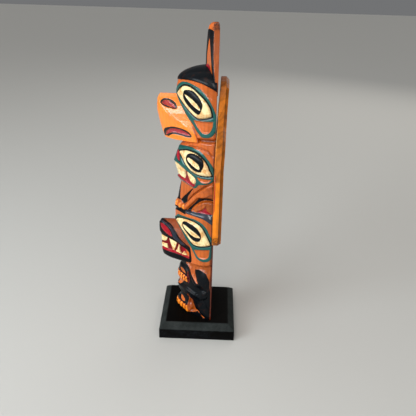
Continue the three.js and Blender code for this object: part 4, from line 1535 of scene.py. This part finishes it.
@dataclass
class Stand(Piece):
    """The square block with its upper edges bevelled."""

    slot = "stand_paint"
    node = "stand"
    side: float = 88
    thickness: float = 19.3
    bevel_inset: float = 7
    bevel_drop: float = 6.3
    softened: float = 0.7

    def build(self) -> bpy.types.Object:
        """Model the block from a box, drawing its top in, and soften its edges.

        Returns:
            The stand.
        """
        bpy.ops.object.select_all(action="DESELECT")
        body = self.thickness - self.bevel_drop
        bpy.ops.mesh.primitive_cube_add(size=1, location=(0, 0, body / 2 * MM))
        block = bpy.context.active_object
        block.name = block.data.name = "bevelled_stand"
        block.scale = (self.side * MM, self.side * MM, body * MM)
        bpy.ops.object.transform_apply(location=True, rotation=True, scale=True)
        bpy.ops.object.mode_set(mode="EDIT")
        bpy.ops.mesh.select_mode(type="FACE")
        bpy.ops.mesh.select_all(action="DESELECT")
        bpy.ops.object.mode_set(mode="OBJECT")
        for face in block.data.polygons:
            face.select = face.normal.z > 0.9
        bpy.ops.object.mode_set(mode="EDIT")
        bpy.ops.mesh.extrude_region_move(TRANSFORM_OT_translate={"value": (0, 0, self.bevel_drop * MM)})
        shrink = 1 - 2 * self.bevel_inset / self.side
        bpy.ops.transform.resize(value=(shrink, shrink, 1))
        bpy.ops.object.mode_set(mode="OBJECT")
        soften = block.modifiers.new("soft_edges", "BEVEL")
        soften.width, soften.segments = self.softened * MM, 3
        soften.limit_method, soften.angle_limit = "ANGLE", math.radians(20)
        bpy.ops.object.modifier_apply(modifier="soft_edges")
        bpy.ops.object.mode_set(mode="EDIT")
        bpy.ops.mesh.select_all(action="SELECT")
        bpy.ops.mesh.subdivide(number_cuts=3)
        bpy.ops.object.mode_set(mode="OBJECT")
        bpy.ops.object.shade_smooth_by_angle(angle=math.radians(25))
        return block


# ------------------------------------------------------------------ finishes


FLOAT, COLOUR = "NodeSocketFloat", "NodeSocketColor"


def linear(red: int, green: int, blue: int) -> Colour:
    """Turn a colour of 0 to 255 steps into linear light."""
    parts = [v / 255 for v in (red, green, blue)]
    return (*[p / 12.92 if p <= 0.04045 else ((p + 0.055) / 1.055) ** 2.4 for p in parts], 1.0)


class Nodes:
    """Adds nodes to one tree and joins them."""

    def __init__(self, tree: bpy.types.NodeTree) -> None:
        """Work in a node tree."""
        self.tree = tree

    def add(self, kind: str, inputs: dict | None = None, **settings: object) -> bpy.types.Node:
        """Add a node.

        Args:
            kind: The node's type.
            inputs: A value or a socket for each named or numbered input.
            settings: The node's own properties.

        Returns:
            The node.
        """
        node = self.tree.nodes.new(kind)
        for key, value in settings.items():
            setattr(node, key, value)
        for key, value in (inputs or {}).items():
            self.feed(node, key, value)
        return node

    def feed(self, node: bpy.types.Node, key: str | int, value: object) -> None:
        """Set a node's input, or link it where the value is a socket.

        Args:
            node: The node.
            key: The input's name or number.
            value: The value or the socket.
        """
        if isinstance(value, bpy.types.NodeSocket):
            self.tree.links.new(value, node.inputs[key])
        else:
            node.inputs[key].default_value = value

    def place(self) -> bpy.types.NodeSocket:
        """The place on the object."""
        return self.add("ShaderNodeTexCoord").outputs["Object"]

    def stretched(self, scale: Point, turn: Point = (0, 0, 0)) -> bpy.types.NodeSocket:
        """The place on the object, turned and scaled so that a pattern on it is drawn out."""
        inputs = {"Vector": self.place(), "Rotation": turn, "Scale": scale}
        return self.add("ShaderNodeMapping", inputs).outputs[0]

    def math(self, operation: str, *values: object) -> bpy.types.NodeSocket:
        """A math node's result."""
        return self.add("ShaderNodeMath", dict(enumerate(values)), operation=operation).outputs[0]

    def times(self, first: object, second: object) -> bpy.types.NodeSocket:
        """Two values multiplied."""
        return self.math("MULTIPLY", first, second)

    def plus(self, first: object, second: object) -> bpy.types.NodeSocket:
        """Two values added."""
        return self.math("ADD", first, second)

    def mix(self, factor: object, first: object, second: object, blend: str = "MIX") -> bpy.types.NodeSocket:
        """Mix two colours."""
        # The node's sockets share their names; inputs 6 and 7 and output 2 are the colours.
        node = self.add("ShaderNodeMix", {0: factor, 6: first, 7: second}, data_type="RGBA", blend_type=blend)
        return node.outputs[2]

    def noise(
        self, vector: object, scale: float, detail: float = 3, rough: float = 0.5
    ) -> bpy.types.NodeSocket:
        """Noise from 0 to 1."""
        inputs = {"Vector": vector, "Scale": scale, "Detail": detail, "Roughness": rough}
        return self.add("ShaderNodeTexNoise", inputs).outputs["Fac"]

    def step(
        self, value: object, low: float, high: float, out_low: float = 0, out_high: float = 1
    ) -> bpy.types.NodeSocket:
        """Ease a value from one range to another, clamped."""
        inputs = {0: value, 1: low, 2: high, 3: out_low, 4: out_high}
        return self.add("ShaderNodeMapRange", inputs, interpolation_type="SMOOTHSTEP").outputs[0]

    def attribute(self, name: str) -> bpy.types.NodeSocket:
        """A point attribute's number."""
        return self.add("ShaderNodeAttribute", attribute_name=name).outputs["Fac"]


def new_group(
    name: str, inputs: Sequence[tuple[str, str, object]], outputs: Sequence[tuple[str, str]]
) -> tuple[bpy.types.NodeTree, Nodes, bpy.types.Node, bpy.types.Node]:
    """Start a shader node group.

    Args:
        name: The group's name.
        inputs: Name, socket type and default value of each input.
        outputs: Name and socket type of each output.

    Returns:
        The group, its node helper, its input node and its output node.
    """
    group = bpy.data.node_groups.new(name, "ShaderNodeTree")
    for label, kind, default in inputs:
        group.interface.new_socket(name=label, in_out="INPUT", socket_type=kind).default_value = default
    for label, kind in outputs:
        group.interface.new_socket(name=label, in_out="OUTPUT", socket_type=kind)
    nodes = Nodes(group)
    return group, nodes, nodes.add("NodeGroupInput"), nodes.add("NodeGroupOutput")


def new_material(name: str) -> tuple[bpy.types.Material, Nodes, bpy.types.Node]:
    """Start a material.

    Args:
        name: The material's name.

    Returns:
        The material, its node helper and its shader.
    """
    material = bpy.data.materials.new(name)
    material.use_nodes = True
    return material, Nodes(material.node_tree), material.node_tree.nodes["Principled BSDF"]


def cedar_group() -> bpy.types.NodeTree:
    """Cedar grain up the pole: growth lines, fine fibre, random darker blotches, rough end grain, and painted
    shade.

    Returns:
        The group.
    """
    group, n, source, sink = new_group(
        "cedar_grain",
        [("Light", COLOUR, (1, 1, 1, 1)), ("Dark", COLOUR, (0.5, 0.5, 0.5, 1)),
         ("End", COLOUR, (0.2, 0.1, 0.05, 1)), ("Shade", FLOAT, 0.0), ("End grain", FLOAT, 0.0)],
        [("Color", COLOUR), ("Height", FLOAT), ("Rough", FLOAT)],
    )
    light, dark, end, shade, end_grain = (
        source.outputs[label] for label in ("Light", "Dark", "End", "Shade", "End grain")
    )
    place, long = n.place(), n.stretched((1, 1, 0.045))
    rings = {"Vector": long, "Scale": 95, "Distortion": 5, "Detail": 2, "Detail Scale": 1.2,
             "Phase Offset": n.times(n.noise(long, 26, 2), 6)}
    ringed = n.add("ShaderNodeTexWave", rings, wave_type="BANDS", bands_direction="DIAGONAL").outputs["Fac"]
    fibre = n.noise(long, 900, 3, 0.6)
    speckle = n.noise(place, 620, 2, 0.7)
    amount = n.plus(n.times(n.step(ringed, 0.35, 1.0), 0.24), n.times(n.step(fibre, 0.4, 0.75), 0.2))
    amount = n.plus(amount, n.step(n.noise(place, 45, 3, 0.55), 0.35, 0.75, -0.12, 0.4))
    # Painted shade darkens the wood towards its dark colour.
    amount = n.plus(amount, n.times(shade, 0.75))
    amount = n.math("MINIMUM", n.math("MAXIMUM", amount, 0.0), 1.0)
    colour = n.mix(amount, light, dark)
    colour = n.mix(n.times(end_grain, n.step(speckle, 0.4, 0.62, 0.5, 1.0)), colour, end)
    height = n.plus(n.times(fibre, 0.5), n.times(ringed, 0.35))
    height = n.plus(height, n.times(n.times(speckle, end_grain), 1.6))
    n.feed(sink, "Color", colour)
    n.feed(sink, "Height", height)
    n.feed(sink, "Rough", n.plus(n.times(fibre, 0.16), n.times(end_grain, 0.3)))
    return group


def brush_group() -> bpy.types.NodeTree:
    """A coat of paint laid by hand within a shape: a slightly uneven edge, brush streaks and thin places.

    Returns:
        The group.
    """
    group, n, source, sink = new_group(
        "brushed_coat",
        [("Under", COLOUR, (1, 1, 1, 1)), ("Paint", COLOUR, (1, 1, 1, 1)), ("Depth", FLOAT, -1.0),
         ("Streaks", FLOAT, 0.12), ("Mask in", FLOAT, 0.0), ("Thin", FLOAT, 0.0)],
        [("Color", COLOUR), ("Mask", FLOAT)],
    )
    under, paint, depth, streaks, mask_in, thin = (
        source.outputs[label] for label in ("Under", "Paint", "Depth", "Streaks", "Mask in", "Thin")
    )
    place = n.place()
    waver = n.times(n.math("SUBTRACT", n.noise(place, 260, 2), 0.5), 0.55)
    mask = n.step(n.plus(depth, waver), -0.1, 0.12)
    streak = n.noise(n.stretched((1, 1, 0.25)), 380, 3, 0.6)
    bright = n.plus(1.0, n.times(n.math("SUBTRACT", streak, 0.5), streaks))
    tint = n.add("ShaderNodeHueSaturation", {"Value": bright, "Color": paint}).outputs[0]
    worn = n.times(n.step(n.noise(place, 150, 4, 0.65), 0.55, 0.75), thin)
    cover = n.times(mask, n.math("SUBTRACT", 1.0, worn))
    n.feed(sink, "Color", n.mix(cover, under, tint))
    n.feed(sink, "Mask", n.math("MAXIMUM", mask_in, cover))
    return group


def knife_group() -> bpy.types.NodeTree:
    """Faint flats left by the carver's knife, as a height.

    Returns:
        The group.
    """
    group, n, source, sink = new_group("knife_flats", [("Size", FLOAT, 150.0)], [("Height", FLOAT)])
    inputs = {"Vector": n.stretched((1, 1, 0.6)), "Scale": source.outputs["Size"], "Smoothness": 0.6}
    n.feed(sink, "Height", n.add("ShaderNodeTexVoronoi", inputs, feature="SMOOTH_F1").outputs["Distance"])
    return group


@dataclass(frozen=True)
class Coat:
    """One of the paints: its colour, how far it has worn thin, and how streaky the brush left it."""

    colour: Colour
    thin: float = 0.05
    streaks: float = 0.16


COATS = {
    Paint.GREEN: Coat(linear(6, 82, 76)),
    Paint.ORANGE: Coat(linear(250, 140, 34), thin=0.3),
    Paint.RED: Coat(linear(158, 8, 30), thin=0.3),
    Paint.CREAM: Coat(linear(246, 224, 166)),
    # The blue-grey of the painted highlight on black.
    Paint.SLATE: Coat(linear(34, 42, 54)),
    Paint.BLACK: Coat(linear(3, 7, 12), streaks=0.3),
}


@dataclass(frozen=True)
class CarvedWood:
    """Varnished cedar with the paints laid over it in order."""

    name: str
    light: Colour
    dark: Colour
    end: Colour
    roughness: float = 0.32
    coat: float = 0.7
    specular: float = 0.08
    grain: float = 0.28
    black_coat: float = 0.13
    smudge: Colour = linear(208, 144, 70)
    # The dark colour that is multiplied in where shade is painted.
    painted_shade_colour: Colour = linear(120, 72, 66)

    def rubbed(self, n: Nodes, tone: Colour) -> bpy.types.NodeSocket:
        """Smudge the cream paint with tan where it is rubbed thin.

        Args:
            n: The material's node helper.
            tone: The clean paint.

        Returns:
            The smudged colour.
        """
        hatch = n.step(n.noise(n.stretched((1, 1, 0.3), (0.7, 0, 0)), 900, 3, 0.6), 0.36, 0.62, 0.45, 1.0)
        smudge = n.times(n.step(n.noise(n.place(), 130, 3, 0.6), 0.45, 0.62, 0, 0.9), hatch)
        return n.mix(smudge, tone, self.smudge)

    def painted(
        self, n: Nodes, brush: bpy.types.NodeTree, wood: bpy.types.NodeSocket
    ) -> tuple[bpy.types.NodeSocket, bpy.types.NodeSocket]:
        """Lay the paints over the wood.

        Args:
            n: The material's node helper.
            brush: The group that lays one coat.
            wood: The bare wood's colour.

        Returns:
            The colour, and where any paint is.
        """
        colour, mask = wood, 0.0
        for paint, coat in COATS.items():
            tone = self.rubbed(n, coat.colour) if paint is Paint.CREAM else coat.colour
            inputs = {"Under": colour, "Paint": tone, "Depth": n.attribute(paint.value), "Mask in": mask,
                      "Thin": coat.thin, "Streaks": coat.streaks}
            laid = n.add("ShaderNodeGroup", node_tree=brush)
            for label, value in inputs.items():
                n.feed(laid, label, value)
            colour, mask = laid.outputs["Color"], laid.outputs["Mask"]
        return colour, mask

    def material(self, groups: dict[str, bpy.types.NodeTree]) -> bpy.types.Material:
        """Build the finish.

        Args:
            groups: The shared node groups.

        Returns:
            The material.
        """
        material, n, shader = new_material(self.name)
        cedar = n.add("ShaderNodeGroup", node_tree=groups["cedar"])
        inputs = {"Light": self.light, "Dark": self.dark, "End": self.end,
                  "Shade": n.attribute("shade"), "End grain": n.attribute("end_grain")}
        for label, value in inputs.items():
            n.feed(cedar, label, value)
        colour, mask = self.painted(n, groups["brush"], cedar.outputs["Color"])
        # Painted shade: the colour is multiplied with a dark colour, as far as this attribute says.
        colour = n.mix(n.attribute("painted_shade_wash"), colour, n.mix(1.0, colour, self.painted_shade_colour, "MULTIPLY"))
        black = n.step(n.attribute(Paint.BLACK.value), -0.2, 0.2)
        flats = n.add("ShaderNodeGroup", node_tree=groups["knife"])
        height = n.times(cedar.outputs["Height"], n.step(mask, 0, 1, 1.0, 0.4))
        height = n.plus(height, n.times(flats.outputs["Height"], 1.6))
        bump = n.add("ShaderNodeBump", {"Height": height, "Strength": self.grain, "Distance": 0.0004})
        rough = n.plus(n.times(cedar.outputs["Rough"], n.step(mask, 0, 1, 1.0, 0.5)), self.roughness)
        n.feed(shader, "Base Color", colour)
        n.feed(shader, "Roughness", rough)
        n.feed(shader, "Normal", bump.outputs[0])
        n.feed(shader, "Coat Weight", n.step(black, 0, 1, self.coat, self.black_coat))
        shader.inputs["Coat Roughness"].default_value = 0.13
        shader.inputs["Specular IOR Level"].default_value = self.specular
        return material


@dataclass(frozen=True)
class BlackStand:
    """Thin satin black paint over wood, scuffed along the edges and bevels, with a painted grey highlight
    over the bevels.
    """

    name: str = "scuffed_black_paint_painted_highlight"
    half: float = 44.0
    slope: Point = (12.4, 13.6)
    bevel: Point = (8.4, 6.2)
    edge: Point = (0.6, 0.2)

    def material(self) -> bpy.types.Material:
        """Build the finish.

        Returns:
            The material.
        """
        material, n, shader = new_material(self.name)
        place = n.place()
        grain = n.noise(n.stretched((0.06, 1, 1)), 420, 4, 0.6)
        fine = n.noise(place, 1400, 2, 0.7)
        patch = n.noise(place, 70, 4, 0.6)
        axes = n.add("ShaderNodeSeparateXYZ", {0: place}).outputs
        reach = n.math("MAXIMUM", n.math("ABSOLUTE", axes[0]), n.math("ABSOLUTE", axes[1]))
        slope = n.step(axes[2], *(height * MM for height in self.slope))
        bevel = n.times(n.step(reach, *((self.half - inset) * MM for inset in self.bevel)), slope)
        side = n.step(reach, *((self.half - inset) * MM for inset in self.edge))
        worn = n.times(n.step(fine, 0.45, 0.75), n.step(patch, 0.35, 0.7))
        base = n.mix(grain, linear(4, 4, 4), linear(13, 11, 9))
        grey = n.mix(fine, linear(30, 35, 35), linear(62, 66, 64))
        # Painted highlight: the bevels turn grey, varied at random; the scuffs laid after it are wear.
        colour = n.mix(n.times(bevel, n.step(patch, 0.2, 0.7, 0.45, 0.95)), base, grey)
        colour = n.mix(n.times(n.times(side, worn), 0.6), colour, linear(56, 62, 68))
        colour = n.mix(n.times(worn, n.times(bevel, 0.3)), colour, linear(86, 84, 78))
        height = n.plus(n.times(grain, 0.7), n.times(fine, 0.5))
        bump = n.add("ShaderNodeBump", {"Height": height, "Strength": 0.35, "Distance": 0.0004})
        n.feed(shader, "Base Color", colour)
        n.feed(shader, "Roughness", n.plus(n.times(grain, 0.2), n.plus(n.times(bevel, 0.12), 0.36)))
        n.feed(shader, "Normal", bump.outputs[0])
        shader.inputs["Specular IOR Level"].default_value = 0.025
        return material


POLE_FINISH = CarvedWood("painted_cedar", linear(208, 102, 36), linear(146, 66, 6), linear(70, 30, 10))
BEAK_FINISH = CarvedWood(
    "orange_beak_paint", linear(254, 136, 20), linear(240, 108, 8), linear(150, 80, 30),
    roughness=0.24, coat=0.9, specular=0.4, grain=0.03,
)
SNOUT_FINISH = CarvedWood(
    "brown_snout_cedar", linear(152, 74, 40), linear(104, 44, 20), linear(92, 50, 26), coat=0.25,
)
WING_FINISH = CarvedWood(
    "honey_cedar", linear(238, 132, 26), linear(144, 80, 14), linear(104, 54, 6), coat=0.3,
)


# ------------------------------------------------------------------ light, floor and camera


@dataclass(frozen=True)
class Lamp:
    """One soft rectangular lamp that faces the pole's middle; sizes and places are metres."""

    name: str
    place: Point
    size: Point
    power: float
    tint: Point
    aim: Point = (0, 0, 0.17)

    def hang(self) -> None:
        """Hang the lamp."""
        data = bpy.data.lights.new(self.name, "AREA")
        data.shape, data.energy, data.color = "RECTANGLE", self.power, self.tint
        data.size, data.size_y = self.size
        lamp = bpy.data.objects.new(self.name, data)
        lamp.location = self.place
        lamp.rotation_euler = (Vector(self.aim) - Vector(self.place)).to_track_quat("-Z", "Y").to_euler()
        bpy.context.scene.collection.objects.link(lamp)


@dataclass
class Studio:
    """A pale floor, soft light from above, and the camera; places are metres."""

    focal_mm: float = 41.54
    sensor_mm: float = 36.0
    floor_size: float = 12
    sky_power: float = 1.15
    sky_spread: float = 2.2
    sky_towards: Point = (-0.45, 0.45, -0.77)
    dim_light: float = 0.22
    eye: Point = (0.486374, 0.015949, 0.386943)
    right: Point = (-0.027662, 0.999277, 0.026098)
    up: Point = (-0.435205, -0.035542, 0.899630)
    ahead: Point = (-0.899907, -0.013528, -0.435873)
    lamps: tuple[Lamp, ...] = (
        Lamp("window_panel", (0.7, -0.95, 0.62), (0.8, 0.5), 11.5, (0.82, 0.92, 1.0)),
        Lamp("top_panel", (0.55, -0.4, 1.15), (0.5, 0.5), 1.5, (1.0, 0.98, 0.95)),
        Lamp("near_strip", (0.84, -0.16, 0.75), (0.14, 0.5), 2.6, (1.0, 0.96, 0.95)),
        Lamp("front_panel", (1.1, 0.5, 0.8), (0.9, 0.9), 1.6, (1.0, 0.98, 0.95)),
        Lamp("back_panel", (-1.1, 0.6, 0.9), (1.2, 1.2), 4, (1.0, 0.97, 0.93)),
    )

    def camera(self) -> None:
        """Set up the camera."""
        data = bpy.data.cameras.new("view")
        data.lens, data.sensor_width = self.focal_mm, self.sensor_mm
        data.clip_start, data.clip_end = 0.01, 20
        eye = bpy.data.objects.new("view", data)
        columns = [Vector(self.right), Vector(self.up), -Vector(self.ahead)]
        eye.matrix_world = Matrix.Translation(Vector(self.eye)) @ Matrix(columns).transposed().to_4x4()
        bpy.context.scene.collection.objects.link(eye)
        bpy.context.scene.camera = eye

    def floor(self) -> None:
        """Lay the plain floor."""
        bpy.ops.object.select_all(action="DESELECT")
        bpy.ops.mesh.primitive_plane_add(size=self.floor_size, location=(0, 0, 0))
        floor = bpy.context.active_object
        floor.name = "floor"
        material, _, shader = new_material("pale_floor")
        shader.inputs["Base Color"].default_value = linear(198, 196, 190)
        shader.inputs["Roughness"].default_value = 0.8
        floor.data.materials.append(material)

    def sky(self) -> None:
        """Add the broad even light from above and the dim light all round."""
        sky = bpy.data.objects.new("open_sky", bpy.data.lights.new("open_sky", "SUN"))
        sky.data.energy, sky.data.angle = self.sky_power, self.sky_spread
        sky.rotation_euler = Vector(self.sky_towards).to_track_quat("-Z", "Y").to_euler()
        bpy.context.scene.collection.objects.link(sky)
        world = bpy.data.worlds.new("studio")
        bpy.context.scene.world = world
        world.use_nodes = True
        background = world.node_tree.nodes["Background"]
        background.inputs[0].default_value = linear(226, 228, 230)
        background.inputs[1].default_value = self.dim_light

    def build(self) -> None:
        """Lay the floor, hang the lights and set up the camera."""
        self.floor()
        for lamp in self.lamps:
            lamp.hang()
        self.sky()
        bpy.context.scene.view_settings.view_transform = "Standard"
        self.camera()


# ------------------------------------------------------------------ the whole


def main() -> None:
    """Build every piece in order, then the studio."""
    logging.basicConfig(level=logging.INFO, format="%(message)s")
    groups = {"cedar": cedar_group(), "brush": brush_group(), "knife": knife_group()}
    pole, beak, snout, wing = (
        finish.material(groups) for finish in (POLE_FINISH, BEAK_FINISH, SNOUT_FINISH, WING_FINISH)
    )
    pieces = (
        (Stand(), BlackStand().material()), (Trunk(), pole), (Beak(), beak), (Jaw(), snout),
        (Ear(Side.LEFT), pole), (Ear(Side.RIGHT), pole), (WingBoard(), wing),
    )
    for piece, finish in pieces:
        piece.dress(piece.build(), finish)
    Studio().build()


if __name__ == "__main__":
    main()
